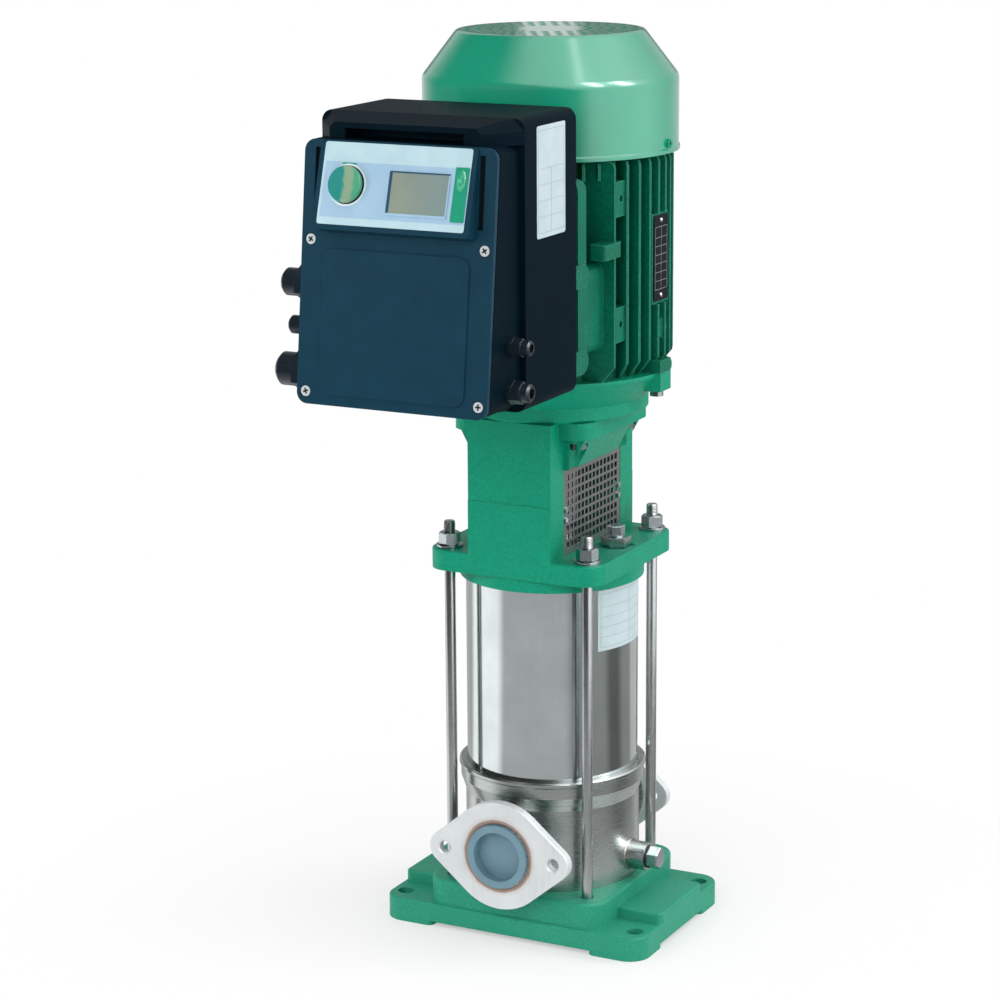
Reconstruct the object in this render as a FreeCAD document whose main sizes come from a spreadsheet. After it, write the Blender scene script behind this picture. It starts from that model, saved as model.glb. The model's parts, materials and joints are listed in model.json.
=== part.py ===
import FreeCAD, Part
import math
import os
import Sketcher

# A vertical multistage in-line water pump with its motor on top and a variable-speed drive in front.
# The pump stands on the floor plane at height zero, its shaft on the Z axis and its inlet facing -Y.
# Every size is in millimetres and every angle in degrees.

Vector = FreeCAD.Vector
doc = FreeCAD.newDocument("InlinePump")

SIZES = {
    # cast base
    "base_length": 242,
    "base_width": 168,
    "base_corner": 18,
    "foot_height": 4,
    "foot_along_x": 48,
    "foot_along_y": 44,
    "foot_inner_corner": 5,
    "pad_top": 20,
    "wing_top": 29,
    "wing_half": 42,
    "wing_corner": 5,
    "base_hole_span_x": 215,
    "base_hole_span_y": 130,
    "base_hole": 14,
    "platform_side": 162,
    "platform_corner": 20,
    "platform_top": 42,
    "platform_edge": 3,
    "base_edge": 2,
    "core_side": 42,
    "core_rib": 12,
    "core_roof": 12,
    "housing_recess": 4,
    # tie rods with their washers and nuts
    "rod_span": 125.8,
    "rod_diameter": 10,
    "rod_bury": 20,
    "rod_hole_slack": 0.1,
    "rod_above_washer": 19.5,
    "washer_outer": 22,
    "washer_thickness": 2.4,
    "rod_nut_across": 17,
    "rod_nut_height": 10,
    "rod_chamfer": 1,
    "hex_chamfer": 0.8,
    # pump body
    "housing_radius": 73.5,
    "housing_wall": 2.5,
    "housing_straight": 74,
    "housing_flare_height": 12,
    "housing_neck_height": 9,
    "housing_bead_height": 5,
    "housing_neck_radius": 77.5,
    "housing_bead_radius": 78.9,
    "housing_bead_inner": 74.2,
    "sleeve_radius": 72,
    "sleeve_wall": 2,
    "sleeve_visible": 162,
    "sleeve_seat": 20,
    "sleeve_socket": 12,
    "socket_slack": 0.2,
    "seal_ring_height": 5,
    "groove_rise": 3,
    # ports
    "port_height": 80,
    "port_reach": 102,
    "stub_outer": 56,
    "stub_bore": 50,
    "flange_centre_radius": 46,
    "flange_ear_radius": 14,
    "flange_bolt_span": 100,
    "flange_bolt_bore": 10.2,
    "flange_bolt_chamfer": 1.4,
    "flange_thickness": 8,
    "flange_edge": 0.8,
    "flange_ring_radius": 42,
    "flange_ring_thickness": 2.5,
    "cap_rim_radius": 27,
    "cap_rim_thickness": 3,
    "cap_recess_radius": 21,
    "cap_skirt_depth": 9,
    "cap_skirt_slack": 0.1,
    "cap_wall": 2,
    # drain and vent plugs
    "drain_height": 61,
    "drain_boss_radius": 12,
    "drain_boss_reach": 90,
    "drain_thread_radius": 6.5,
    "drain_thread_length": 13,
    "drain_washer_radius": 9.5,
    "drain_washer_thickness": 1.5,
    "drain_across": 17,
    "drain_head": 9.5,
    "thread_slack": 0.05,
    "vent_x": 59,
    "vent_spot_radius": 15,
    "vent_spot_depth": 1,
    "vent_body_across": 22,
    "vent_body_height": 9,
    "vent_body_spigot_radius": 8,
    "vent_bore_radius": 3.5,
    "vent_washer_thickness": 1.2,
    "vent_screw_across": 13,
    "vent_screw_head": 8,
    "vent_shank_gap": 1,
    # lantern between pump and motor
    "skirt_radius": 77,
    "skirt_height": 11,
    "lantern_side": 157,
    "lantern_corner": 19,
    "lantern_plate": 17,
    "lantern_rise": 113,
    "lantern_edge": 1.5,
    "wall_half": 37.5,
    "wall_front": 78.5,
    "wall_back": 54,
    "wall_skin": 7,
    "wall_step_height": 45,
    "wall_step": 0.6,
    "window_height": 72,
    "band_low_half": 42,
    "band_high_half": 57,
    "band_skin": 9,
    "top_plate": 14,
    "top_corner": 17,
    "motor_bolt_circle": 130,
    "motor_bolt": 8,
    "motor_bolt_hole": 9,
    "motor_bolt_access": 8.5,
    "motor_bolt_boss": 4.4,
    "motor_bolt_boss_radius": 9,
    "motor_bolt_across": 13,
    "motor_bolt_head": 5.3,
    "spigot_radius": 55,
    "spigot_depth": 3,
    "spigot_slack": 0.05,
    "lantern_bore": 30,
    "coupling_room": 5,
    "guard_thickness": 1,
    "guard_gap": 0.3,
    "guard_pitch": 7,
    "guard_hole": 4.8,
    "guard_columns": 14,
    "guard_rows": 9,
    "guard_lug_depth": 8,
    "guard_lug_reach": 12,
    "guard_screw_low": 30,
    "guard_screw_pitch": 8.5,
    "guard_screw_head_radius": 2.6,
    "guard_screw_head_height": 1.6,
    "guard_screw_radius": 1.5,
    "guard_screw_length": 6,
    "guard_screw_inset": 4,
    # shaft seal
    "seal_plate_radius": 34,
    "seal_plate_thickness": 5,
    "seal_collar_radius": 20,
    "seal_collar_height": 7,
    "seal_bore": 14,
    "seal_seat_radius": 13.9,
    "seal_seat_height": 6,
    "seal_face_height": 7,
    "seal_face_radius": 12.5,
    "seal_seat_slack": 1,
    "seal_face_gap": 0.1,
    # rotating parts of the pump
    "pump_shaft_radius": 8,
    "pump_shaft_foot": 66,
    "shaft_fit": 0.05,
    "shaft_chamfer": 1,
    "stage_count": 6,
    "stage_pitch": 31.4,
    "stage_first": 122,
    "stage_radius": 66,
    "stage_wall": 2,
    "stage_eye_radius": 20,
    "stage_gap": 0.2,
    "impeller_radius": 52,
    "impeller_height": 14,
    "impeller_shroud": 1.6,
    "impeller_hub_radius": 14,
    "impeller_vanes": 6,
    "impeller_vane_thickness": 2,
    "impeller_vane_sweep": 36,
    "impeller_vane_inset": 1,
    "impeller_lift": 2,
    "impeller_eye_step": 2,
    "foot_bearing_radius": 14,
    "foot_bearing_height": 14,
    "foot_bearing_flange": 3,
    "duct_outer": 48,
    "duct_wall": 2,
    "duct_gap": 4.5,
    # coupling
    "coupling_radius": 25,
    "coupling_bottom": 344,
    "coupling_length": 56,
    "coupling_split": 2,
    "coupling_screw_spread": 16.5,
    "coupling_screw_rise": 13,
    "coupling_screw_radius": 3,
    "coupling_screw_head_radius": 5,
    "coupling_screw_head_height": 5,
    "coupling_spot": 8,
    "coupling_spot_slack": 0.5,
    # motor
    "motor_shaft_radius": 9.5,
    "motor_shaft_bottom": 373,
    "motor_flange_radius": 80,
    "motor_flange_thickness": 12,
    "motor_flange_chamfer": 2,
    "motor_bowl_radius": 99,
    "motor_bowl_height": 24,
    "motor_bowl_wall": 8,
    "motor_bowl_rim": 3,
    "bearing_outer": 23.5,
    "bearing_width": 14,
    "bearing_hub_radius": 31,
    "bearing_floor": 2,
    "bearing_stop": 3,
    "shaft_clearance": 2,
    "ear_half": 10,
    "ear_centre": 95,
    "ear_reach": 103,
    "ear_drop": 15,
    "frame_ear_height": 10.5,
    "ear_screw_radius": 3,
    "ear_screw_head_radius": 5.5,
    "ear_screw_head_height": 5,
    "ear_screw_end": 2,
    "frame_height": 176,
    "frame_inner": 78,
    "frame_outer": 86,
    "fin_tip": 99.7,
    "fin_thickness": 2.4,
    "fin_count": 48,
    "fin_toe_height": 13,
    "fin_toe_radius": 89,
    "fin_top_round": 5,
    "fin_free_half": 60,
    "fin_stub": 15,
    "web_y": 61,
    "web_thickness": 2.5,
    "web_inner": 54,
    "bracket_inner": 74,
    "bracket_outer": 89,
    "bracket_near": 54,
    "bracket_far": 84,
    "bracket_low": 101,
    "bracket_height": 12,
    "bracket_corner": 3,
    "frame_pad_x": 87,
    "frame_pad_y": 51,
    "frame_pad_width": 20,
    "frame_pad_height": 28,
    "frame_pad_low": 32,
    "frame_pad_pitch": 100,
    "frame_pad_hole": 6,
    "frame_pad_hole_depth": 15,
    "plate_seat_half": 15,
    "plate_seat_reach": 96,
    "plate_low": 58,
    "plate_height": 69,
    "plate_width": 26,
    "plate_thickness": 1,
    "plate_y": 3,
    "plate_corner": 2,
    "earth_boss_radius": 8,
    "earth_boss_height": 35,
    "earth_boss_reach": 97,
    "earth_boss_y": 6,
    "stator_length": 110,
    "stator_bore": 50,
    "winding_height": 24,
    "winding_radius": 74,
    "winding_inset": 3,
    "rotor_gap": 0.6,
    "rotor_ring_height": 8,
    "rotor_ring_width": 12,
    "end_shield_height": 13,
    "end_shield_radius": 96,
    "end_shield_lug": 6,
    "end_shield_lug_depth": 8,
    "fan_radius": 84,
    "fan_hub_radius": 20,
    "fan_height": 24,
    "fan_clearance": 8,
    "fan_disc": 3,
    "fan_blades": 9,
    "fan_blade_thickness": 2.5,
    "fan_blade_root": 2,
    "fan_blade_top": 50,
    "cowl_rim_radius": 104.6,
    "cowl_radius": 103.65,
    "cowl_wall": 1.5,
    "cowl_rim_height": 3,
    "cowl_straight": 59,
    "cowl_cone": 36.3,
    "cowl_top_radius": 75.8,
    "cowl_overlap": 0.6,
    "cowl_shoulder_round": 9,
    "cowl_top_round": 5,
    "cowl_rim_slope": 1,
    "cowl_slack": 0.5,
    "grille_inner": 32,
    "grille_pitch": 9,
    "grille_rings": 5,
    "grille_first_count": 20,
    "grille_more": 6,
    "grille_hole": 6,
    "cowl_screw_radius": 2,
    "cowl_screw_head_radius": 3.5,
    "cowl_screw_head_height": 2.4,
    "cowl_screw_rise": 8,
    "cowl_screw_bite": 5,
    "cowl_screw_hole": 6,
    # drive carried in front of the motor
    "saddle_half": 77,
    "saddle_low": 26,
    "saddle_height": 71,
    "saddle_front": 98,
    "carrier_half": 79,
    "carrier_low": 11,
    "carrier_height": 155,
    "carrier_front": 112,
    "carrier_corner": 8,
    "carrier_slack": 0.4,
    "lug_radius": 9,
    "lug_inner": 69,
    "lug_outer": 81,
    "lug_reach": 120.5,
    "lug_height": 569.5,
    "lug_low_height": 502,
    "lug_disc_radius": 6,
    "lug_disc_height": 2,
    "neck_half": 68,
    "neck_low": 30,
    "neck_height": 104,
    "drive_rear": 130,
    "drive_ridge": 216,
    "drive_half": 86,
    "drive_bottom": 482,
    "drive_height": 220,
    "drive_corner": 9,
    "drive_wall": 4,
    "drive_front_half": 81,
    "cover_low": 486,
    "cover_reach": 271,
    "cover_tilt": 6.3,
    "cover_height": 199,
    "cover_thickness": 4,
    "cover_corner": 9,
    "gasket_thickness": 1,
    "gasket_width": 6,
    "gasket_inset": 1,
    "gasket_corner": 5,
    "cover_screw_span": 147,
    "cover_screw_low": 9.5,
    "cover_screw_pitch": 114.6,
    "cover_screw_head_radius": 4,
    "cover_screw_head_height": 2,
    "cover_screw_radius": 2,
    "cover_screw_length": 9,
    "cover_screw_sink": 0.3,
    "cover_screw_recess": 0.6,
    "cover_post_radius": 6,
    "cover_post_length": 36,
    "cover_post_hole": 18,
    "cover_raised_half": 62,
    "cover_raised_low": 8,
    "cover_raised_height": 110,
    "cover_raised_step": 1.2,
    "hood_half": 63,
    "hood_reach": 244,
    "hood_lip": 696,
    "hood_lip_corner": 4,
    "hood_slot_half": 50,
    "hood_slot_depth": 22,
    "hood_slot_roof": 4,
    "side_slot_inner": 67,
    "side_slot_outer": 71.5,
    "side_slot_low": 139,
    "side_slot_high": 193,
    "side_slot_depth": 3,
    "display_low": 623,
    "display_reach": 267.5,
    "display_tilt": 16.5,
    "display_length": 62.9,
    "display_half": 62,
    "display_frame_half": 66,
    "display_frame_lip": 4,
    "display_frame_depth": 38,
    "display_corner": 3,
    "foil_thickness": 0.8,
    "foil_margin": 1,
    "screen_left": -4,
    "screen_right": 46,
    "screen_low": 9.5,
    "screen_high": 42,
    "screen_thickness": 0.6,
    "knob_x": -39.5,
    "knob_rise": 30,
    "knob_radius": 14,
    "knob_height": 10,
    "knob_lift": 1.4,
    "knob_skirt": 7,
    "knob_edge": 2,
    "knob_rim": 2,
    "knob_dish": 1,
    "knob_grooves": 16,
    "knob_groove_radius": 1.4,
    "knob_groove_out": 0.6,
    "encoder_radius": 3,
    "encoder_depth": 7,
    "encoder_hole_slack": 0.1,
    "encoder_hole_depth": 23.5,
    "board_thickness": 1.6,
    "board_inset": 12,
    "board_slack": 0.3,
    # cable glands on the drive
    "gland_y": 232,
    "gland_lock_height": 4,
    "gland_m20_height": 571,
    "gland_m20_across": 24,
    "gland_m20_length": 30,
    "gland_m12_height": 538,
    "gland_m12_across": 16,
    "gland_m12_length": 26,
    "gland_m25_height": 503,
    "gland_m25_across": 29,
    "gland_m25_length": 36,
    "gland_right_small_height": 535,
    "gland_right_small_across": 13,
    "gland_right_large_height": 501,
    "gland_right_large_across": 16,
    "gland_right_length": 18,
    "gland_spigot": 6,
    "gland_thread_share": 0.4,
    "gland_nut_share": 0.96,
    "gland_dome_share": 0.45,
    "gland_edge_share": 0.1,
    "gland_bore_share": 0.26,
    "gland_bore_depth": 5,
    # how far one feature of a sub-part runs into the next
    "overlap": 1,
}


class Dim:
    """A size together with the expression that gives it, so that every feature follows the sheet."""

    def __init__(self, value, text):
        self.value = float(value)
        self.text = text

    def __add__(self, other):
        return combine(self, other, "+", lambda a, b: a + b)

    def __radd__(self, other):
        return combine(other, self, "+", lambda a, b: a + b)

    def __sub__(self, other):
        return combine(self, other, "-", lambda a, b: a - b)

    def __rsub__(self, other):
        return combine(other, self, "-", lambda a, b: a - b)

    def __mul__(self, other):
        return combine(self, other, "*", lambda a, b: a * b)

    def __rmul__(self, other):
        return combine(other, self, "*", lambda a, b: a * b)

    def __truediv__(self, other):
        return combine(self, other, "/", lambda a, b: a / b)

    def __neg__(self):
        return Dim(-self.value, f"(-1 * {self.text})")


def dim(item):
    if isinstance(item, Dim):
        return item
    return Dim(item, f"({float(item)!r})")


def combine(left, right, sign, work):
    a = dim(left)
    b = dim(right)
    return Dim(work(a.value, b.value), f"({a.text} {sign} {b.text})")


def cosine(angle):
    return Dim(math.cos(math.radians(angle.value)), f"cos({angle.text} * 1 deg)")


def sine(angle):
    return Dim(math.sin(math.radians(angle.value)), f"sin({angle.text} * 1 deg)")


def root(item):
    return Dim(math.sqrt(item.value), f"sqrt({item.text})")


class Named:
    """The sizes by name."""


def fill_sheet():
    sheet = doc.addObject("Spreadsheet::Sheet", "Sizes")
    sizes = Named()
    for row, (name, value) in enumerate(SIZES.items(), start=1):
        sheet.set(f"A{row}", name.replace("_", " "))
        sheet.set(f"B{row}", str(value))
        sheet.setAlias(f"B{row}", name)
        setattr(sizes, name, Dim(value, f"Sizes.{name}"))
    doc.recompute()
    return sizes


s = fill_sheet()

# Heights that follow from the sizes, from the floor up
rod_place = s.rod_span / 2
housing_bottom = s.platform_top - s.housing_recess
flare_bottom = housing_bottom + s.housing_straight
neck_bottom = flare_bottom + s.housing_flare_height
bead_bottom = neck_bottom + s.housing_neck_height
housing_top = bead_bottom + s.housing_bead_height
sleeve_bottom = housing_top - s.sleeve_seat
skirt_bottom = housing_top + s.sleeve_visible
sleeve_top = skirt_bottom + s.sleeve_socket
upper_groove_bottom = skirt_bottom + s.groove_rise
plate_bottom = skirt_bottom + s.skirt_height
plate_top = plate_bottom + s.lantern_plate
lantern_top = plate_top + s.lantern_rise
band_bottom = plate_top + s.window_height
top_plate_bottom = lantern_top - s.top_plate
bolt_place = s.motor_bolt_circle * math.sqrt(0.5) / 2
bolt_seat = top_plate_bottom - s.motor_bolt_boss
motor_flange_top = lantern_top + s.motor_flange_thickness
frame_bottom = motor_flange_top + s.motor_bowl_height
frame_top = frame_bottom + s.frame_height
end_shield_top = frame_top + s.end_shield_height
lower_bearing_bottom = motor_flange_top + s.bearing_floor
upper_bearing_bottom = end_shield_top - s.bearing_width
fan_bottom = end_shield_top + s.fan_clearance
cowl_bottom = frame_top + s.cowl_overlap
cowl_shoulder = cowl_bottom + s.cowl_straight
cowl_top = cowl_shoulder + s.cowl_cone
seal_plate_top = plate_top + s.seal_plate_thickness
pump_shaft_top = s.motor_shaft_bottom - s.coupling_split
motor_shaft_top = fan_bottom + s.fan_height


def new_body(label):
    body = doc.addObject("PartDesign::Body", label)
    body.Label = label
    return body


def origin_plane(body, role):
    return [item for item in body.Origin.OriginFeatures if item.Role == role][0]


def new_sketch(body, plane, offset=None):
    """A sketch on one of the body's own origin planes, moved along the plane's normal by offset."""
    sketch = body.newObject("Sketcher::SketchObject", body.Name + "_sketch")
    sketch.AttachmentSupport = [(origin_plane(body, plane + "_Plane"), "")]
    sketch.MapMode = "FlatFace"
    if offset is not None:
        sketch.setExpression("AttachmentOffset.Base.z", dim(offset).text)
    return sketch


def hold(sketch, kind, *where, size):
    """One constraint whose value comes from the sheet."""
    place = sketch.addConstraint(Sketcher.Constraint(kind, *where, size.value))
    sketch.setExpression(f"Constraints[{place}]", size.text)


def pin_point(sketch, geometry, end, x, y):
    """Ties a point to the sketch's origin by its two distances."""
    for kind, axis, size in (("DistanceX", -2, dim(x)), ("DistanceY", -1, dim(y))):
        if size.value == 0:
            sketch.addConstraint(Sketcher.Constraint("PointOnObject", geometry, end, axis))
        else:
            hold(sketch, kind, -1, 1, geometry, end, size=size)


def add_outline(sketch, points):
    """A closed outline of straight sides, each corner held by its own sizes."""
    first = sketch.GeometryCount
    corners = [Vector(dim(x).value, dim(y).value, 0) for x, y in points]
    count = len(points)
    for i in range(count):
        sketch.addGeometry(Part.LineSegment(corners[i], corners[(i + 1) % count]), False)
    for i in range(count):
        sketch.addConstraint(Sketcher.Constraint("Coincident", first + i, 2, first + (i + 1) % count, 1))
    for i, (x, y) in enumerate(points):
        pin_point(sketch, first + i, 1, x, y)


def add_circle(sketch, x, y, radius):
    centre = Vector(dim(x).value, dim(y).value, 0)
    radius = dim(radius)
    geometry = sketch.addGeometry(Part.Circle(centre, Vector(0, 0, 1), radius.value), False)
    pin_point(sketch, geometry, 3, x, y)
    hold(sketch, "Radius", geometry, size=radius)


def add_belt(sketch, circles):
    """The outline of a belt laid round circles (x, y, radius), which are listed anticlockwise."""
    first = sketch.GeometryCount
    count = len(circles)
    centres = [Vector(dim(x).value, dim(y).value, 0) for x, y, _ in circles]
    radii = [dim(radius).value for _, _, radius in circles]
    angles = []
    for i in range(count):
        j = (i + 1) % count
        run = centres[j] - centres[i]
        lean = math.asin((radii[i] - radii[j]) / run.Length)
        angles.append(math.atan2(run.y, run.x) - math.pi / 2 + lean)
    for i in range(count):
        start = angles[i - 1]
        end = angles[i]
        while end <= start:
            end += 2 * math.pi
        circle = Part.Circle(centres[i], Vector(0, 0, 1), radii[i])
        sketch.addGeometry(Part.ArcOfCircle(circle, start, end), False)
    for i in range(count):
        j = (i + 1) % count
        across = Vector(math.cos(angles[i]), math.sin(angles[i]), 0)
        line = Part.LineSegment(centres[i] + across * radii[i], centres[j] + across * radii[j])
        sketch.addGeometry(line, False)
    for i in range(count):
        line = first + count + i
        sketch.addConstraint(Sketcher.Constraint("Tangent", first + i, 2, line, 1))
        sketch.addConstraint(Sketcher.Constraint("Tangent", line, 2, first + (i + 1) % count, 1))
    for i, (x, y, radius) in enumerate(circles):
        pin_point(sketch, first + i, 3, x, y)
        hold(sketch, "Radius", first + i, size=dim(radius))


def add_rounded(sketch, low_x, high_x, low_y, high_y, corner):
    add_belt(sketch, [
        (low_x + corner, low_y + corner, corner),
        (high_x - corner, low_y + corner, corner),
        (high_x - corner, high_y - corner, corner),
        (low_x + corner, high_y - corner, corner),
    ])


def add_rectangle(sketch, low_x, high_x, low_y, high_y):
    add_outline(sketch, [(low_x, low_y), (high_x, low_y), (high_x, high_y), (low_x, high_y)])


def add_hexagon(sketch, x, y, across):
    """A hexagon with two of its flats square to the sketch's X axis."""
    corner = dim(across) / math.sqrt(3)
    turns = [math.radians(30 + 60 * i) for i in range(6)]
    add_outline(sketch, [(x + corner * math.cos(t), y + corner * math.sin(t)) for t in turns])


def feature(body, kind, sketch, **sizes):
    """A feature of one sketch. Words ending in a size are bound to the sheet, others are set as they are."""
    made = body.newObject("PartDesign::" + kind, body.Name + "_" + kind.lower())
    made.Profile = sketch
    for name, value in sizes.items():
        if isinstance(value, Dim):
            made.setExpression(name, value.text)
        else:
            setattr(made, name, value)
    sketch.Visibility = False
    return made


def pad(body, sketch, length, **more):
    return feature(body, "Pad", sketch, Length=dim(length), **more)


def pocket(body, sketch, length, **more):
    return feature(body, "Pocket", sketch, Length=dim(length), **more)


def turn(body, points, kind="Revolution"):
    """A turned form: the profile (radius, height) goes once round the Z axis. A Groove removes it."""
    sketch = new_sketch(body, "XZ")
    add_outline(sketch, points)
    made = feature(body, kind, sketch)
    made.ReferenceAxis = (sketch, ["V_Axis"])
    made.Angle = 360
    return made


def polar(body, features, count):
    made = body.newObject("PartDesign::PolarPattern", body.Name + "_pattern")
    made.Originals = features
    made.Axis = (new_sketch(body, "XY"), ["N_Axis"])
    made.Angle = 360
    made.setExpression("Occurrences", dim(count).text)
    body.Tip = made
    return made


def mirror(body, features, plane):
    made = body.newObject("PartDesign::Mirrored", body.Name + "_mirror")
    made.Originals = features
    made.MirrorPlane = (origin_plane(body, plane + "_Plane"), [""])
    body.Tip = made
    return made


def edges_of(made, wanted):
    """The names of the edges of a feature for which wanted says yes."""
    doc.recompute()
    return [f"Edge{i}" for i, edge in enumerate(made.Shape.Edges, start=1) if wanted(edge)]


def round_edges(body, made, wanted, radius):
    names = edges_of(made, wanted)
    fillet = body.newObject("PartDesign::Fillet", body.Name + "_fillet")
    fillet.Base = (made, names)
    fillet.setExpression("Radius", dim(radius).text)
    return fillet


def break_edges(body, made, wanted, size):
    names = edges_of(made, wanted)
    chamfer = body.newObject("PartDesign::Chamfer", body.Name + "_chamfer")
    chamfer.Base = (made, names)
    chamfer.setExpression("Size", dim(size).text)
    return chamfer


def at_height(z):
    """Says yes to an edge that lies level at one height."""
    return lambda edge: abs(edge.BoundBox.ZMin - z.value) < 1e-4 and abs(edge.BoundBox.ZMax - z.value) < 1e-4


def at_reach(x):
    """Says yes to an edge that lies in the upright plane square to X at one distance."""
    return lambda edge: abs(edge.BoundBox.XMin - x.value) < 1e-4 and abs(edge.BoundBox.XMax - x.value) < 1e-4


def is_straight(edge):
    return edge.Curve.TypeId == "Part::GeomLine"


def place(item, x=None, y=None, z=None, axis=None, angle=None):
    """Moves a finished sub-part, with its place bound to the sheet."""
    if axis is not None:
        item.Placement = FreeCAD.Placement(Vector(0, 0, 0), FreeCAD.Rotation(axis, dim(angle).value))
        if isinstance(angle, Dim):
            item.setExpression("Placement.Rotation.Angle", angle.text + " * 1 deg")
    for name, value in (("x", x), ("y", y), ("z", z)):
        if value is not None:
            item.setExpression("Placement.Base." + name, dim(value).text)
    return item


def corners(span_x, span_y):
    """The four places of a rectangular pattern."""
    half_x = dim(span_x) / 2
    half_y = dim(span_y) / 2
    return [(half_x, half_y), (-half_x, half_y), (-half_x, -half_y), (half_x, -half_y)]


# Cast base, rods and their fasteners

def base_plate():
    body = new_body("base_plate")
    half_x = s.base_length / 2
    half_y = s.base_width / 2
    sole = new_sketch(body, "XY", s.foot_height)
    add_rounded(sole, -half_x, half_x, -half_y, half_y, s.base_corner)
    slab = pad(body, sole, s.pad_top - s.foot_height)
    round_edges(body, slab, at_height(s.pad_top), s.base_edge)
    inner_x = half_x - s.foot_along_x
    inner_y = half_y - s.foot_along_y
    small = s.foot_inner_corner
    for side_x, side_y in ((1, 1), (-1, 1), (-1, -1), (1, -1)):
        circles = [
            (side_x * (inner_x + small), side_y * (inner_y + small), small),
            (side_x * (half_x - small), side_y * (inner_y + small), small),
            (side_x * (half_x - s.base_corner), side_y * (half_y - s.base_corner), s.base_corner),
            (side_x * (inner_x + small), side_y * (half_y - small), small),
        ]
        if side_x * side_y < 0:
            circles.reverse()
        foot = new_sketch(body, "XY")
        add_belt(foot, circles)
        pad(body, foot, s.foot_height)
    wings = new_sketch(body, "XY", s.foot_height)
    add_rounded(wings, -half_x, half_x, -s.wing_half, s.wing_half, s.wing_corner)
    ridge = pad(body, wings, s.wing_top - s.foot_height)
    round_edges(body, ridge, at_height(s.wing_top), s.base_edge)
    platform = new_sketch(body, "XY", s.foot_height)
    side = s.platform_side / 2
    add_rounded(platform, -side, side, -side, side, s.platform_corner)
    raised = pad(body, platform, s.platform_top - s.foot_height)
    round_edges(body, raised, at_height(s.platform_top), s.platform_edge)
    seat = new_sketch(body, "XY", s.platform_top)
    add_circle(seat, 0, 0, s.housing_radius + s.socket_slack)
    pocket(body, seat, s.housing_recess)
    rods = new_sketch(body, "XY", s.platform_top)
    for x, y in corners(s.rod_span, s.rod_span):
        add_circle(rods, x, y, s.rod_diameter / 2 + s.rod_hole_slack)
    pocket(body, rods, s.rod_bury)
    cores = new_sketch(body, "XY", s.platform_top - s.core_roof)
    reach = s.core_rib / 2 + s.core_side
    for side_x, side_y in ((1, 1), (-1, 1), (-1, -1), (1, -1)):
        low_x, high_x = sorted((side_x * s.core_rib / 2, side_x * reach), key=lambda item: item.value)
        low_y, high_y = sorted((side_y * s.core_rib / 2, side_y * reach), key=lambda item: item.value)
        add_rectangle(cores, low_x, high_x, low_y, high_y)
    pocket(body, cores, s.platform_top)
    holes = new_sketch(body, "XY", s.platform_top)
    for x, y in corners(s.base_hole_span_x, s.base_hole_span_y):
        add_circle(holes, x, y, s.base_hole / 2)
    pocket(body, holes, s.platform_top)
    return body


def rod_group(label, bottom, height, outline, hole=None):
    """The same small solid once at each tie rod."""
    body = new_body(label)
    sketch = new_sketch(body, "XY", bottom)
    for x, y in corners(s.rod_span, s.rod_span):
        outline(sketch, x, y)
        if hole is not None:
            add_circle(sketch, x, y, hole)
    pad(body, sketch, height)
    return body


def tie_rods():
    bottom = s.platform_top - s.rod_bury
    top = plate_top + s.washer_thickness + s.rod_above_washer
    body = rod_group("tie_rods", bottom, top - bottom,
                     lambda sketch, x, y: add_circle(sketch, x, y, s.rod_diameter / 2))
    break_edges(body, body.Tip, at_height(top), s.rod_chamfer)
    return body


def tie_rod_washers():
    return rod_group("tie_rod_washers", plate_top, s.washer_thickness,
                     lambda sketch, x, y: add_circle(sketch, x, y, s.washer_outer / 2),
                     s.rod_diameter / 2 + s.rod_hole_slack)


def tie_rod_nuts():
    low = plate_top + s.washer_thickness
    body = rod_group("tie_rod_nuts", low, s.rod_nut_height,
                     lambda sketch, x, y: add_hexagon(sketch, x, y, s.rod_nut_across),
                     s.rod_diameter / 2 + s.thread_slack)
    top = at_height(low + s.rod_nut_height)
    break_edges(body, body.Tip, lambda edge: top(edge) and is_straight(edge), s.hex_chamfer)
    return body


# Stainless pump body

def bottom_housing():
    body = new_body("bottom_housing")
    wall = s.housing_wall
    inner = s.housing_radius - wall
    turn(body, [
        (0, housing_bottom),
        (s.housing_radius, housing_bottom),
        (s.housing_radius, flare_bottom),
        (s.housing_neck_radius, neck_bottom),
        (s.housing_neck_radius, bead_bottom),
        (s.housing_bead_radius, bead_bottom + s.housing_bead_height / 4),
        (s.housing_bead_radius, housing_top - s.housing_bead_height / 4),
        (s.housing_neck_radius, housing_top),
        (s.sleeve_radius + s.socket_slack, housing_top),
        (s.sleeve_radius + s.socket_slack, neck_bottom + s.seal_ring_height),
        (s.housing_bead_inner, neck_bottom + s.seal_ring_height),
        (s.housing_bead_inner, neck_bottom),
        (s.sleeve_radius + s.socket_slack, neck_bottom),
        (s.sleeve_radius + s.socket_slack, sleeve_bottom),
        (inner - wall, sleeve_bottom),
        (inner - wall, flare_bottom),
        (inner, flare_bottom - wall),
        (inner, housing_bottom + wall),
        (0, housing_bottom + wall),
    ])
    ports = new_sketch(body, "XZ")
    add_circle(ports, 0, s.port_height, s.stub_bore / 2)
    pocket(body, ports, 2 * s.housing_neck_radius, Midplane=True)
    drain = new_sketch(body, "YZ")
    add_circle(drain, 0, s.drain_height, s.drain_thread_radius + s.thread_slack)
    pocket(body, drain, s.housing_neck_radius, Reversed=True)
    return body


def outer_sleeve():
    body = new_body("outer_sleeve")
    turn(body, [
        (s.sleeve_radius - s.sleeve_wall, sleeve_bottom),
        (s.sleeve_radius, sleeve_bottom),
        (s.sleeve_radius, sleeve_top),
        (s.sleeve_radius - s.sleeve_wall, sleeve_top),
    ])
    return body


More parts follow.
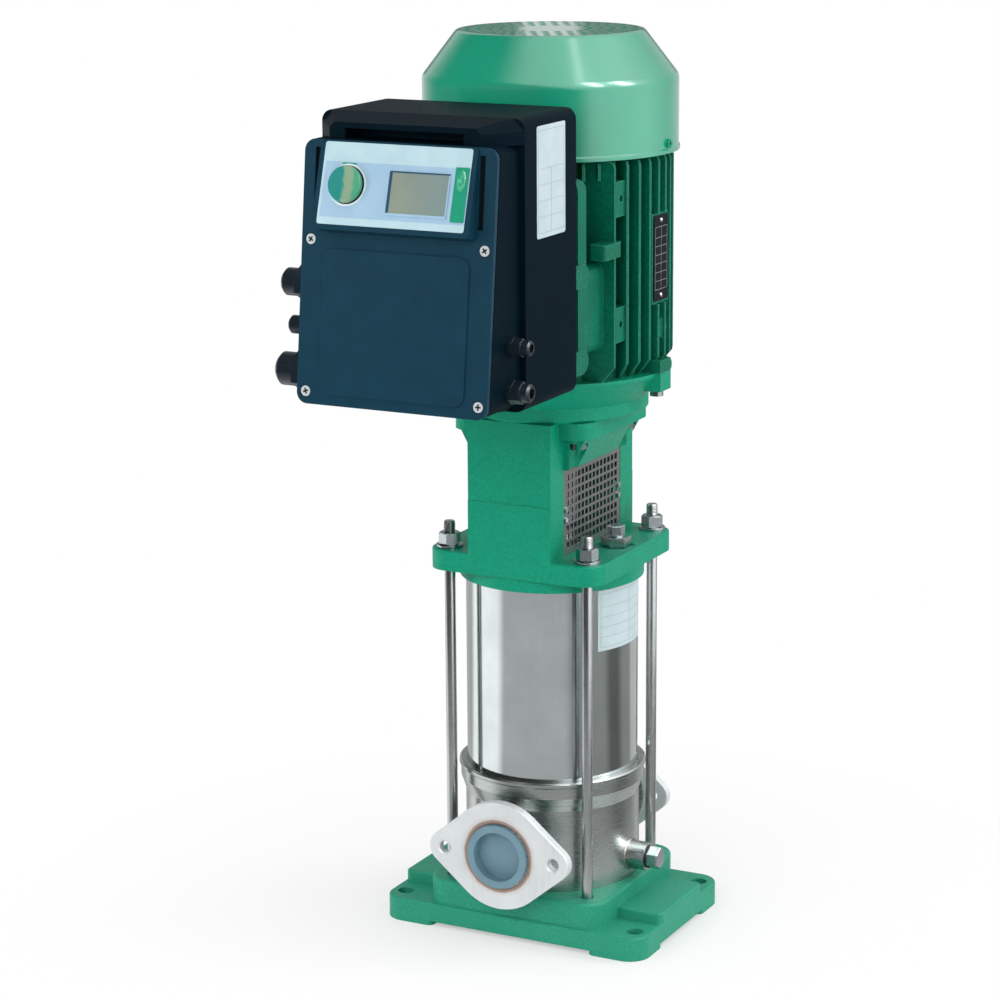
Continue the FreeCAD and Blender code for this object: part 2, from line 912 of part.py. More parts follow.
def sleeve_seals():
    """The rubber rings that fill their grooves between the sleeve and the parts round it."""
    body = new_body("sleeve_seals")
    for bottom in (neck_bottom, upper_groove_bottom):
        turn(body, [
            (s.sleeve_radius, bottom),
            (s.housing_bead_inner, bottom),
            (s.housing_bead_inner, bottom + s.seal_ring_height),
            (s.sleeve_radius, bottom + s.seal_ring_height),
        ])
    return body


def suction_duct():
    """The well and branch inside the housing that lead the inlet to the first impeller's eye."""
    body = new_body("suction_duct")
    radius = s.duct_outer / 2
    inner = radius - s.duct_wall
    floor = s.port_height - radius
    branch = new_sketch(body, "XZ")
    add_circle(branch, 0, s.port_height, radius)
    pad(body, branch, s.housing_radius - s.housing_wall - s.duct_gap)
    well = new_sketch(body, "XY", floor)
    add_circle(well, 0, 0, radius)
    pad(body, well, s.stage_first - floor)
    bore = new_sketch(body, "XZ")
    add_circle(bore, 0, s.port_height, inner)
    pocket(body, bore, s.housing_radius, Reversed=True)
    eye = new_sketch(body, "XY", s.stage_first)
    add_circle(eye, 0, 0, inner)
    pocket(body, eye, s.stage_first - floor - s.duct_wall)
    return body


# Ports: side is -1 at the inlet in front and +1 at the outlet behind, made in front and turned round

def port_body(label, side):
    body = new_body(label)
    if side > 0:
        place(body, axis=Vector(0, 0, 1), angle=180)
    return body


def port_stubs():
    """The two tubes welded to the housing, each with the thin collar that backs its flange."""
    body = new_body("port_stubs")
    collar_back = s.port_reach - s.flange_thickness - s.flange_ring_thickness
    for forward in (True, False):
        side = 1 if forward else -1
        tube = new_sketch(body, "XZ")
        add_circle(tube, 0, s.port_height, s.stub_outer / 2)
        pad(body, tube, s.port_reach, Reversed=not forward)
        collar = new_sketch(body, "XZ", side * collar_back)
        add_circle(collar, 0, s.port_height, s.flange_ring_radius)
        pad(body, collar, s.flange_ring_thickness, Reversed=not forward)
    bore = new_sketch(body, "XZ")
    add_circle(bore, 0, s.port_height, s.stub_bore / 2)
    pocket(body, bore, 2 * s.port_reach, Midplane=True)
    housing = new_sketch(body, "XY")
    add_circle(housing, 0, 0, s.housing_radius)
    pocket(body, housing, s.port_height + s.stub_outer, Reversed=True)
    return body


def at_front(y):
    """Says yes to an edge that lies in the upright plane square to Y at one distance."""
    return lambda edge: abs(edge.BoundBox.YMin - y.value) < 1e-4 and abs(edge.BoundBox.YMax - y.value) < 1e-4


def port_flange(label, side):
    body = port_body(label, side)
    back = s.port_reach - s.flange_thickness
    ear = s.flange_bolt_span / 2
    plate = new_sketch(body, "XZ", back)
    add_belt(plate, [
        (ear, s.port_height, s.flange_ear_radius),
        (0, s.port_height, s.flange_centre_radius),
        (-ear, s.port_height, s.flange_ear_radius),
        (0, s.port_height, s.flange_centre_radius),
    ])
    add_circle(plate, 0, s.port_height, s.stub_outer / 2)
    face = pad(body, plate, s.flange_thickness)
    at_face = at_front(-s.port_reach)
    round_edges(body, face, at_face, s.flange_edge)
    bolts = new_sketch(body, "XZ", s.port_reach)
    for x in (-ear, ear):
        add_circle(bolts, x, s.port_height, s.flange_bolt_bore / 2)
    holes = pocket(body, bolts, s.flange_thickness)
    break_edges(body, holes, lambda edge: at_face(edge)
                and abs(edge.BoundBox.XLength - s.flange_bolt_bore.value) < 1e-3, s.flange_bolt_chamfer)
    return body


def port_cap(label, side):
    """The plastic plug that closes a port until its pipe is fitted."""
    body = port_body(label, side)
    skirt_radius = s.stub_bore / 2 - s.cap_skirt_slack
    rim = new_sketch(body, "XZ", s.port_reach)
    add_circle(rim, 0, s.port_height, s.cap_rim_radius)
    pad(body, rim, s.cap_rim_thickness)
    skirt = new_sketch(body, "XZ", s.port_reach)
    add_circle(skirt, 0, s.port_height, skirt_radius)
    pad(body, skirt, s.cap_skirt_depth, Reversed=True)
    dish = new_sketch(body, "XZ", s.port_reach + s.cap_rim_thickness)
    add_circle(dish, 0, s.port_height, s.cap_recess_radius)
    pocket(body, dish, s.cap_skirt_depth + s.cap_rim_thickness - s.cap_wall)
    return body


# Drain plug on the housing's right side and vent plug on the lantern, each turned about its own axis

def drain_boss():
    body = new_body("drain_boss")
    boss = new_sketch(body, "YZ")
    add_circle(boss, 0, s.drain_height, s.drain_boss_radius)
    add_circle(boss, 0, s.drain_height, s.drain_thread_radius + s.thread_slack)
    pad(body, boss, s.drain_boss_reach)
    housing = new_sketch(body, "XY")
    add_circle(housing, 0, 0, s.housing_radius)
    pocket(body, housing, s.drain_height + s.drain_boss_reach, Reversed=True)
    return body


def drain_washer():
    body = new_body("drain_washer")
    ring = new_sketch(body, "YZ", s.drain_boss_reach)
    add_circle(ring, 0, s.drain_height, s.drain_washer_radius)
    add_circle(ring, 0, s.drain_height, s.drain_thread_radius + s.thread_slack)
    pad(body, ring, s.drain_washer_thickness)
    return body


def drain_plug():
    body = new_body("drain_plug")
    seat = s.drain_boss_reach + s.drain_washer_thickness
    head = new_sketch(body, "YZ", seat)
    add_hexagon(head, 0, s.drain_height, s.drain_across)
    block = pad(body, head, s.drain_head)
    break_edges(body, block, at_reach(seat + s.drain_head), s.hex_chamfer)
    shank = new_sketch(body, "YZ", seat)
    add_circle(shank, 0, s.drain_height, s.drain_thread_radius)
    pad(body, shank, s.drain_washer_thickness + s.drain_thread_length, Reversed=True)
    return body


def vent_body():
    body = new_body("vent_body")
    seat = plate_top - s.vent_spot_depth
    spigot = new_sketch(body, "XY", seat)
    add_circle(spigot, s.vent_x, 0, s.vent_body_spigot_radius)
    pad(body, spigot, s.lantern_plate / 2, Reversed=True)
    head = new_sketch(body, "XY", seat)
    add_hexagon(head, s.vent_x, 0, s.vent_body_across)
    pad(body, head, s.vent_body_height)
    bore = new_sketch(body, "XY", seat + s.vent_body_height)
    add_circle(bore, s.vent_x, 0, s.vent_bore_radius + s.thread_slack)
    pocket(body, bore, s.vent_body_height)
    return body


def vent_washer():
    body = new_body("vent_washer")
    ring = new_sketch(body, "XY", plate_top - s.vent_spot_depth + s.vent_body_height)
    add_circle(ring, s.vent_x, 0, s.vent_screw_across / 2)
    add_circle(ring, s.vent_x, 0, s.vent_bore_radius + s.thread_slack)
    pad(body, ring, s.vent_washer_thickness)
    return body


def vent_screw():
    body = new_body("vent_screw")
    seat = plate_top - s.vent_spot_depth + s.vent_body_height + s.vent_washer_thickness
    head = new_sketch(body, "XY", seat)
    add_hexagon(head, s.vent_x, 0, s.vent_screw_across)
    block = pad(body, head, s.vent_screw_head)
    break_edges(body, block, at_height(seat + s.vent_screw_head), s.hex_chamfer)
    shank = new_sketch(body, "XY", seat)
    add_circle(shank, s.vent_x, 0, s.vent_bore_radius)
    pad(body, shank, s.vent_washer_thickness + s.vent_body_height - s.vent_shank_gap, Reversed=True)
    return body


# Cast lantern that joins pump and motor, with its guards

def lantern():
    body = new_body("lantern")
    turn(body, [
        (s.sleeve_radius + s.socket_slack, skirt_bottom),
        (s.skirt_radius, skirt_bottom),
        (s.skirt_radius, plate_bottom),
        (s.sleeve_radius + s.socket_slack, plate_bottom),
    ])
    half = s.lantern_side / 2
    plate = new_sketch(body, "XY", plate_bottom)
    add_rounded(plate, -half, half, -half, half, s.lantern_corner)
    slab = pad(body, plate, s.lantern_plate)
    round_edges(body, slab, at_height(plate_top), s.lantern_edge)
    walls = new_sketch(body, "XY", plate_top - s.lantern_edge)
    add_rectangle(walls, -s.wall_half, s.wall_half, s.wall_back, s.wall_front)
    add_rectangle(walls, -s.wall_half, s.wall_half, -s.wall_front, -s.wall_back)
    pad(body, walls, s.lantern_rise + s.lantern_edge)
    step = new_sketch(body, "XY", plate_top + s.wall_step_height)
    face = s.wall_front - s.wall_step
    add_rectangle(step, -s.wall_half, s.wall_half, face, s.wall_front)
    add_rectangle(step, -s.wall_half, s.wall_half, -s.wall_front, -face)
    pocket(body, step, s.lantern_rise, Reversed=True)
    band = new_sketch(body, "XZ")
    add_outline(band, [
        (-s.band_low_half, band_bottom),
        (s.band_low_half, band_bottom),
        (s.band_high_half, top_plate_bottom),
        (-s.band_high_half, top_plate_bottom),
    ])
    pad(body, band, 2 * s.wall_back, Midplane=True)
    top = new_sketch(body, "XY", top_plate_bottom)
    add_belt(top, [(x, y, s.top_corner) for x, y in corners(2 * bolt_place, 2 * bolt_place)])
    pad(body, top, s.top_plate)
    access = new_sketch(body, "XY", bolt_seat)
    for x, y in corners(2 * bolt_place, 2 * bolt_place):
        add_circle(access, x, y, s.motor_bolt_access)
    pocket(body, access, bolt_seat - band_bottom)
    hollow = new_sketch(body, "XZ")
    skin = s.band_skin
    add_outline(hollow, [
        (skin - s.band_low_half, band_bottom),
        (s.band_low_half - skin, band_bottom),
        (s.band_high_half - skin - skin, top_plate_bottom),
        (skin + skin - s.band_high_half, top_plate_bottom),
    ])
    pocket(body, hollow, 2 * (s.wall_back - skin - s.motor_bolt_access), Midplane=True)
    inside = s.wall_half - s.wall_skin
    troughs = new_sketch(body, "XY", band_bottom)
    add_rectangle(troughs, -inside, inside, s.wall_back - s.overlap, s.wall_front - s.wall_skin)
    add_rectangle(troughs, -inside, inside, s.wall_skin - s.wall_front, s.overlap - s.wall_back)
    pocket(body, troughs, s.window_height)
    lugs = new_sketch(body, "XY", plate_top + s.guard_screw_low - s.guard_screw_inset)
    face = s.wall_half - s.guard_gap - s.guard_thickness
    for low_x, high_x in ((face - s.guard_lug_depth, face), (-face, s.guard_lug_depth - face)):
        add_rectangle(lugs, low_x, high_x, s.wall_back - s.guard_lug_reach, s.wall_back)
        add_rectangle(lugs, low_x, high_x, -s.wall_back, s.guard_lug_reach - s.wall_back)
    pad(body, lugs, s.guard_screw_pitch + 2 * s.guard_screw_inset)
    screws = new_sketch(body, "YZ")
    guard_screw_circles(screws, s.guard_screw_radius + s.thread_slack)
    pocket(body, screws, 2 * face, Midplane=True)
    bore = new_sketch(body, "XY", plate_top)
    add_circle(bore, 0, 0, s.lantern_bore)
    pocket(body, bore, s.lantern_plate)
    spigot = new_sketch(body, "XY", lantern_top)
    add_circle(spigot, 0, 0, s.spigot_radius + s.spigot_slack)
    pocket(body, spigot, s.spigot_depth)
    eye = new_sketch(body, "XY", lantern_top)
    add_circle(eye, 0, 0, s.coupling_radius + s.coupling_room)
    pocket(body, eye, s.top_plate)
    bosses = new_sketch(body, "XY", bolt_seat)
    bolts = new_sketch(body, "XY", lantern_top)
    for x, y in corners(2 * bolt_place, 2 * bolt_place):
        add_circle(bosses, x, y, s.motor_bolt_boss_radius)
        add_circle(bolts, x, y, s.motor_bolt_hole / 2)
    pad(body, bosses, s.motor_bolt_boss)
    pocket(body, bolts, lantern_top - bolt_seat)
    rods = new_sketch(body, "XY", plate_top)
    for x, y in corners(s.rod_span, s.rod_span):
        add_circle(rods, x, y, s.rod_diameter / 2 + s.rod_hole_slack)
    pocket(body, rods, s.lantern_plate)
    spot = new_sketch(body, "XY", plate_top)
    add_circle(spot, s.vent_x, 0, s.vent_spot_radius)
    pocket(body, spot, s.vent_spot_depth)
    vent = new_sketch(body, "XY", plate_top)
    add_circle(vent, s.vent_x, 0, s.vent_body_spigot_radius + s.thread_slack)
    pocket(body, vent, s.lantern_plate)
    socket = new_sketch(body, "XY", skirt_bottom)
    add_circle(socket, 0, 0, s.sleeve_radius + s.socket_slack)
    pocket(body, socket, s.sleeve_socket, Reversed=True)
    groove = new_sketch(body, "XY", upper_groove_bottom)
    add_circle(groove, 0, 0, s.housing_bead_inner)
    pocket(body, groove, s.seal_ring_height, Reversed=True)
    return body


def guard_screw_circles(sketch, radius):
    """Two screws one above the other near each end of a guard."""
    across = s.wall_back - s.guard_screw_inset
    for y in (-across, across):
        for i in range(2):
            add_circle(sketch, y, plate_top + s.guard_screw_low + i * s.guard_screw_pitch, radius)


def guard(label, side):
    """A perforated guard: square holes in rows, punched through a thin plate."""
    body = new_body(label)
    inner = s.wall_half - s.guard_gap - s.guard_thickness
    half_length = s.wall_back - s.guard_gap
    low = plate_top + s.guard_gap
    high = band_bottom - s.guard_gap
    blank = new_sketch(body, "YZ", inner)
    add_rectangle(blank, -half_length, half_length, low, high)
    pad(body, blank, s.guard_thickness)
    screws = new_sketch(body, "YZ", inner + s.guard_thickness)
    guard_screw_circles(screws, s.guard_screw_radius + s.thread_slack)
    pocket(body, screws, s.guard_thickness)
    hole = s.guard_hole / 2
    first_y = -(s.guard_columns - 1) * s.guard_pitch / 2
    first_z = (low + high) / 2 - (s.guard_rows - 1) * s.guard_pitch / 2
    punch = new_sketch(body, "YZ", inner + s.guard_thickness)
    add_rectangle(punch, first_y - hole, first_y + hole, first_z - hole, first_z + hole)
    cut = pocket(body, punch, s.guard_thickness)
    grid = body.newObject("PartDesign::MultiTransform", label + "_grid")
    grid.Originals = [cut]
    steps = []
    for name, axis, count in (("columns", "H_Axis", s.guard_columns), ("rows", "V_Axis", s.guard_rows)):
        step = body.newObject("PartDesign::LinearPattern", f"{label}_{name}")
        step.Direction = (punch, [axis])
        step.Mode = "Spacing"
        step.setExpression("Offset", s.guard_pitch.text)
        step.setExpression("Occurrences", count.text)
        steps.append(step)
    grid.Transformations = steps
    body.Tip = grid
    if side < 0:
        place(body, axis=Vector(0, 0, 1), angle=180)
    return body


def guard_screws():
    body = new_body("guard_screws")
    face = s.wall_half - s.guard_gap
    heads = new_sketch(body, "YZ", face)
    guard_screw_circles(heads, s.guard_screw_head_radius)
    first = pad(body, heads, s.guard_screw_head_height)
    shanks = new_sketch(body, "YZ", face)
    guard_screw_circles(shanks, s.guard_screw_radius)
    second = pad(body, shanks, s.guard_thickness + s.guard_screw_length, Reversed=True)
    mirror(body, [first, second], "YZ")
    return body


# Shaft seal in the lantern's floor

def seal_plate():
    body = new_body("seal_plate")
    turn(body, [
        (s.seal_bore, plate_top),
        (s.seal_plate_radius, plate_top),
        (s.seal_plate_radius, seal_plate_top),
        (s.seal_collar_radius, seal_plate_top),
        (s.seal_collar_radius, seal_plate_top + s.seal_collar_height),
        (s.seal_bore, seal_plate_top + s.seal_collar_height),
    ])
    return body


def seal_seat():
    body = new_body("seal_seat")
    low = plate_top
    inner = s.pump_shaft_radius + s.seal_seat_slack
    turn(body, [
        (inner, low),
        (s.seal_seat_radius, low),
        (s.seal_seat_radius, low + s.seal_seat_height),
        (inner, low + s.seal_seat_height),
    ])
    return body


def seal_rotor():
    """The sprung ring that turns with the shaft under the fixed seat."""
    body = new_body("seal_rotor")
    high = plate_top - s.seal_face_gap
    turn(body, [
        (s.pump_shaft_radius, high - s.seal_face_height),
        (s.seal_face_radius, high - s.seal_face_height),
        (s.seal_face_radius, high),
        (s.pump_shaft_radius, high),
    ])
    return body


# Pump shaft, stages and coupling

def pump_shaft():
    body = new_body("pump_shaft")
    radius = s.pump_shaft_radius
    turn(body, [
        (0, s.pump_shaft_foot),
        (radius - s.shaft_chamfer, s.pump_shaft_foot),
        (radius, s.pump_shaft_foot + s.shaft_chamfer),
        (radius, pump_shaft_top - s.shaft_chamfer),
        (radius - s.shaft_chamfer, pump_shaft_top),
        (0, pump_shaft_top),
    ])
    return body


def foot_bearing():
    body = new_body("foot_bearing")
    low = s.stage_first - s.foot_bearing_height
    turn(body, [
        (s.pump_shaft_radius + s.shaft_fit, low),
        (s.foot_bearing_radius, low),
        (s.foot_bearing_radius, s.stage_first - s.foot_bearing_flange),
        (s.duct_outer / 2 - s.duct_wall, s.stage_first - s.foot_bearing_flange),
        (s.duct_outer / 2 - s.duct_wall, s.stage_first),
        (s.pump_shaft_radius + s.shaft_fit, s.stage_first),
    ])
    return body


def stage_casings():
    """One cup for each stage: a floor with the next impeller's eye in it and a wall up to the next cup."""
    body = new_body("stage_casings")
    rise = s.stage_pitch - s.stage_gap
    for i in range(int(s.stage_count.value)):
        low = s.stage_first + i * s.stage_pitch
        inner = s.stage_radius - s.stage_wall
        turn(body, [
            (s.stage_eye_radius, low),
            (s.stage_radius, low),
            (s.stage_radius, low + rise),
            (inner, low + rise),
            (inner, low + s.stage_wall),
            (s.stage_eye_radius, low + s.stage_wall),
        ])
    return body


def impellers():
    """Closed impellers on the shaft: a hub, two shrouds and swept vanes between them."""
    body = new_body("impellers")
    for i in range(int(s.stage_count.value)):
        low = s.stage_first + i * s.stage_pitch + s.stage_wall + s.impeller_lift
        high = low + s.impeller_height
        shroud = s.impeller_shroud
        eye = s.stage_eye_radius - s.impeller_eye_step
        turn(body, [
            (s.pump_shaft_radius, low + shroud),
            (s.impeller_hub_radius, low + shroud),
            (s.impeller_hub_radius, high - shroud),
            (s.impeller_radius, high - shroud),
            (s.impeller_radius, high),
            (s.pump_shaft_radius, high),
        ])
        turn(body, [
            (eye - shroud, low),
            (s.impeller_radius, low),
            (s.impeller_radius, low + shroud),
            (eye - shroud, low + shroud),
        ])
        vanes = new_sketch(body, "XY", low + shroud)
        inner = s.stage_eye_radius
        outer = s.impeller_radius - s.impeller_vane_inset
        half = s.impeller_vane_thickness / 2
        for k in range(int(s.impeller_vanes.value)):
            angle = dim(360 * k) / s.impeller_vanes
            sweep = angle + s.impeller_vane_sweep
            side_x = half * sine(sweep)
            side_y = half * cosine(sweep)
            near_x = inner * cosine(angle)
            near_y = inner * sine(angle)
            far_x = outer * cosine(sweep)
            far_y = outer * sine(sweep)
            add_outline(vanes, [
                (near_x + side_x, near_y - side_y),
                (far_x + side_x, far_y - side_y),
                (far_x - side_x, far_y + side_y),
                (near_x - side_x, near_y + side_y),
            ])
        pad(body, vanes, s.impeller_height - 2 * shroud)
    return body


def coupling_half(label, side):
    """One half of the split coupling that clamps both shaft ends."""
    body = new_body(label)
    top = s.coupling_bottom + s.coupling_length
    middle = s.motor_shaft_bottom - s.coupling_split / 2
    turn(body, [
        (s.pump_shaft_radius, s.coupling_bottom),
        (s.coupling_radius - s.shaft_chamfer, s.coupling_bottom),
        (s.coupling_radius, s.coupling_bottom + s.shaft_chamfer),
        (s.coupling_radius, top - s.shaft_chamfer),
        (s.coupling_radius - s.shaft_chamfer, top),
        (s.motor_shaft_radius, top),
        (s.motor_shaft_radius, middle),
        (s.pump_shaft_radius, middle),
    ])
    away = new_sketch(body, "XY", top)
    reach = s.coupling_radius + s.overlap
    add_rectangle(away, -reach, reach, -reach, s.coupling_split / 2)
    pocket(body, away, s.coupling_length)
    bolts = new_sketch(body, "XZ")
    coupling_screw_circles(bolts, s.coupling_screw_radius + s.thread_slack)
    pocket(body, bolts, s.coupling_radius)
    spots = new_sketch(body, "XZ", -s.coupling_radius)
    coupling_screw_circles(spots, s.coupling_screw_head_radius + s.coupling_spot_slack)
    pocket(body, spots, s.coupling_spot, Reversed=True)
    if side < 0:
        place(body, axis=Vector(0, 0, 1), angle=180)
    return body


def coupling_screw_circles(sketch, radius):
    middle = s.motor_shaft_bottom - s.coupling_split / 2
    for x in (-s.coupling_screw_spread, s.coupling_screw_spread):
        for z in (middle - s.coupling_screw_rise, middle + s.coupling_screw_rise):
            add_circle(sketch, x, z, radius)


def coupling_screws():
    body = new_body("coupling_screws")
    seat = s.coupling_radius - s.coupling_spot
    heads = new_sketch(body, "XZ", seat)
    coupling_screw_circles(heads, s.coupling_screw_head_radius)
    pad(body, heads, s.coupling_screw_head_height)
    shanks = new_sketch(body, "XZ", seat)
    coupling_screw_circles(shanks, s.coupling_screw_radius)
    pad(body, shanks, 2 * seat, Reversed=True)
    return body


# Motor

def motor_flange():
    """The drive-end shield: mounting flange, bowl and bearing seat, with the ears that the frame bolts to."""
    body = new_body("motor_flange")
    hole = s.motor_shaft_radius + s.shaft_clearance
    floor = lower_bearing_bottom + s.bearing_floor
    turn(body, [
        (hole, lantern_top - s.spigot_depth),
        (s.spigot_radius, lantern_top - s.spigot_depth),
        (s.spigot_radius, lantern_top),
        (s.motor_flange_radius - s.motor_flange_chamfer, lantern_top),
        (s.motor_flange_radius, lantern_top + s.motor_flange_chamfer),
        (s.motor_flange_radius, motor_flange_top),
        (s.motor_bowl_radius, frame_bottom - s.motor_bowl_rim),
        (s.motor_bowl_radius, frame_bottom),
        (s.frame_inner, frame_bottom),
        (s.frame_inner - s.motor_bowl_height + s.motor_bowl_wall, floor),
        (s.bearing_hub_radius, floor),
        (s.bearing_hub_radius, lower_bearing_bottom + s.bearing_width),
        (s.bearing_outer, lower_bearing_bottom + s.bearing_width),
        (s.bearing_outer, lower_bearing_bottom),
        (hole, lower_bearing_bottom),
    ])
    ears = new_sketch(body, "XY", frame_bottom)
    add_ears(ears)
    pad(body, ears, s.ear_drop, Reversed=True)
    room = new_sketch(body, "XY", frame_bottom)
    add_circle(room, 0, 0, s.frame_inner - s.motor_bowl_height + s.motor_bowl_wall)
    add_circle(room, 0, 0, s.bearing_hub_radius)
    pocket(body, room, frame_bottom - floor)
    screws = new_sketch(body, "XY", frame_bottom)
    ear_circles(screws, s.ear_screw_radius + s.thread_slack)
    pocket(body, screws, s.ear_drop)
    bolts = new_sketch(body, "XY", motor_flange_top)
    for x, y in corners(2 * bolt_place, 2 * bolt_place):
        add_circle(bolts, x, y, s.motor_bolt / 2 + s.thread_slack)
    pocket(body, bolts, s.motor_flange_thickness)
    return body


def add_ears(sketch):
    """Four square lugs on the axes, by which the shield is screwed to the frame."""
    near = s.motor_bowl_radius - s.motor_bowl_wall - s.motor_bowl_wall
    far = s.ear_reach
    half = s.ear_half
    add_rectangle(sketch, near, far, -half, half)
    add_rectangle(sketch, -far, -near, -half, half)
    add_rectangle(sketch, -half, half, near, far)
    add_rectangle(sketch, -half, half, -far, -near)


def ear_circles(sketch, radius):
    for x, y in ((s.ear_centre, 0), (0, s.ear_centre), (-s.ear_centre, 0), (0, -s.ear_centre)):
        add_circle(sketch, x, y, radius)


def motor_bolts():
    body = new_body("motor_bolts")
    heads = new_sketch(body, "XY", bolt_seat - s.motor_bolt_head)
    shanks = new_sketch(body, "XY", bolt_seat)
    for x, y in corners(2 * bolt_place, 2 * bolt_place):
        add_hexagon(heads, x, y, s.motor_bolt_across)
        add_circle(shanks, x, y, s.motor_bolt / 2)
    pad(body, heads, s.motor_bolt_head)
    pad(body, shanks, motor_flange_top - bolt_seat)
    return body


def shield_screws():
    """Screws that hold the drive-end shield's ears to the frame's."""
    body = new_body("shield_screws")
    seat = frame_bottom - s.ear_drop
    heads = new_sketch(body, "XY", seat - s.ear_screw_head_height)
    ear_circles(heads, s.ear_screw_head_radius)
    pad(body, heads, s.ear_screw_head_height)
    shanks = new_sketch(body, "XY", seat)
    ear_circles(shanks, s.ear_screw_radius)
    pad(body, shanks, s.ear_drop + s.frame_ear_height - s.ear_screw_end)
    return body


def motor_frame():
    """The finned frame with its mounting pads, nameplate seat, earth boss and the saddle for the drive."""
    body = new_body("motor_frame")
    tube = [
        (s.frame_inner, frame_bottom),
        (s.frame_outer, frame_bottom),
        (s.frame_outer, frame_top),
        (s.frame_inner, frame_top),
    ]
    turn(body, tube)
    half_pitch = dim(180) / s.fin_count
    profile = new_sketch(body, "XZ")
    aside = FreeCAD.Rotation(Vector(0, 1, 0), half_pitch.value)
    profile.AttachmentOffset = FreeCAD.Placement(Vector(0, 0, 0), aside)
    profile.setExpression("AttachmentOffset.Rotation.Angle", half_pitch.text + " * 1 deg")
    add_outline(profile, fin_outline(s.frame_outer - s.overlap, s.fin_toe_radius, s.fin_tip))
    fin = pad(body, profile, s.fin_thickness, Midplane=True)
    polar(body, [fin], s.fin_count)
    # In front the fins stop short, and the tube that the cut went through is made again
    far = s.fin_tip + s.bearing_outer
    side = far * sine(s.fin_free_half)
    near = far * cosine(s.fin_free_half)
    clear = new_sketch(body, "XY", frame_bottom)
    add_outline(clear, [(0, 0), (-side, -near), (-side, -far), (side, -far), (side, -near)])
    pocket(body, clear, s.frame_height - s.fin_stub, Reversed=True)
    turn(body, tube)
    for side in (-1, 1):
        add_web(body, side)
    ears = new_sketch(body, "XY", frame_bottom)
    add_ears(ears)
    pad(body, ears, s.frame_ear_height)
    for side in (-1, 1):
        add_frame_pads(body, side)
    seat = new_sketch(body, "YZ")
    low = frame_bottom + s.plate_low
    margin = (2 * s.plate_seat_half - s.plate_width) / 2
    add_rectangle(seat, s.plate_y - s.plate_seat_half, s.plate_y + s.plate_seat_half,
                  low - margin, low + s.plate_height + margin)
    pad(body, seat, s.plate_seat_reach)
    recess = new_sketch(body, "YZ", s.fin_tip + s.overlap)
    add_rectangle(recess, s.plate_y - s.plate_seat_half, s.plate_y + s.plate_seat_half,
                  low - margin, low + s.plate_height + margin)
    pocket(body, recess, s.fin_tip + s.overlap - s.plate_seat_reach)
    earth = new_sketch(body, "YZ")
    add_circle(earth, s.earth_boss_y, frame_bottom + s.earth_boss_height, s.earth_boss_radius)
    pad(body, earth, s.earth_boss_reach)
    saddle = new_sketch(body, "XZ")
    half = s.saddle_half
    low = frame_bottom + s.saddle_low
    add_rounded(saddle, -half, half, low, low + s.saddle_height, s.carrier_corner)
    pad(body, saddle, s.saddle_front)
    bore = new_sketch(body, "XY", frame_bottom)
    add_circle(bore, 0, 0, s.frame_inner)
    pocket(body, bore, s.frame_height, Reversed=True)
    screws = new_sketch(body, "XY", frame_bottom)
    ear_circles(screws, s.ear_screw_radius + s.thread_slack)
    pocket(body, screws, s.frame_ear_height, Reversed=True)
    holes = new_sketch(body, "YZ", s.frame_pad_x)
    for y, z in frame_pad_centres():
        add_circle(holes, y, z, s.frame_pad_hole / 2)
    tapped = pocket(body, holes, s.frame_pad_hole_depth)
    mirror(body, [tapped], "YZ")
    return body


def fin_outline(root_place, toe, tip):
    """A fin seen from its side: a slanted toe at the bottom and a rounded corner at the top."""
    corner = s.fin_top_round
    inset = corner * (1 - math.sqrt(0.5))
    return [
        (root_place, frame_bottom),
        (toe, frame_bottom),
        (tip, frame_bottom + s.fin_toe_height),
        (tip, frame_top - corner),
        (tip - inset, frame_top - inset),
        (tip - corner, frame_top),
        (root_place, frame_top),
    ]


def add_web(body, side):
    """The flat web before the mounting pads on one side, with the bracket that is cast on to it."""
    web = new_sketch(body, "XZ", s.web_y)
    toe = s.frame_pad_x - s.fin_tip + s.fin_toe_radius
    points = [(side * dim(x), z) for x, z in fin_outline(s.web_inner, toe, s.frame_pad_x)]
    add_outline(web, points)
    pad(body, web, s.web_thickness)
    bracket = new_sketch(body, "XY", frame_bottom + s.bracket_low)
    low_x, high_x = sorted((side * s.bracket_inner, side * s.bracket_outer), key=lambda item: item.value)
    add_rounded(bracket, low_x, high_x, -s.bracket_far, -s.bracket_near, s.bracket_corner)
    pad(body, bracket, s.bracket_height)


def frame_pad_centres():
    middle = frame_bottom + s.frame_pad_low + s.frame_pad_height / 2
    return [(-s.frame_pad_y, middle), (-s.frame_pad_y, middle + s.frame_pad_pitch)]


def add_frame_pads(body, side):
    """Two mounting pads, one above the other, on one side of the frame's front."""
    pads = new_sketch(body, "YZ")
    for y, z in frame_pad_centres():
        add_rectangle(pads, y - s.frame_pad_width / 2, y + s.frame_pad_width / 2,
                      z - s.frame_pad_height / 2, z + s.frame_pad_height / 2)
    pad(body, pads, s.frame_pad_x, Reversed=side < 0)


def nameplate():
    body = new_body("nameplate")
    plate = new_sketch(body, "YZ", s.plate_seat_reach)
    low = frame_bottom + s.plate_low
    add_rounded(plate, s.plate_y - s.plate_width / 2, s.plate_y + s.plate_width / 2,
                low, low + s.plate_height, s.plate_corner)
    pad(body, plate, s.plate_thickness)
    return body


def ring(label, inner, outer, low, high):
    """A plain ring about the shaft."""
    body = new_body(label)
    turn(body, [(inner, low), (outer, low), (outer, high), (inner, high)])
    return body


def stator_core():
    low = frame_bottom + (s.frame_height - s.stator_length) / 2
    return ring("stator_core", s.stator_bore, s.frame_inner, low, low + s.stator_length)


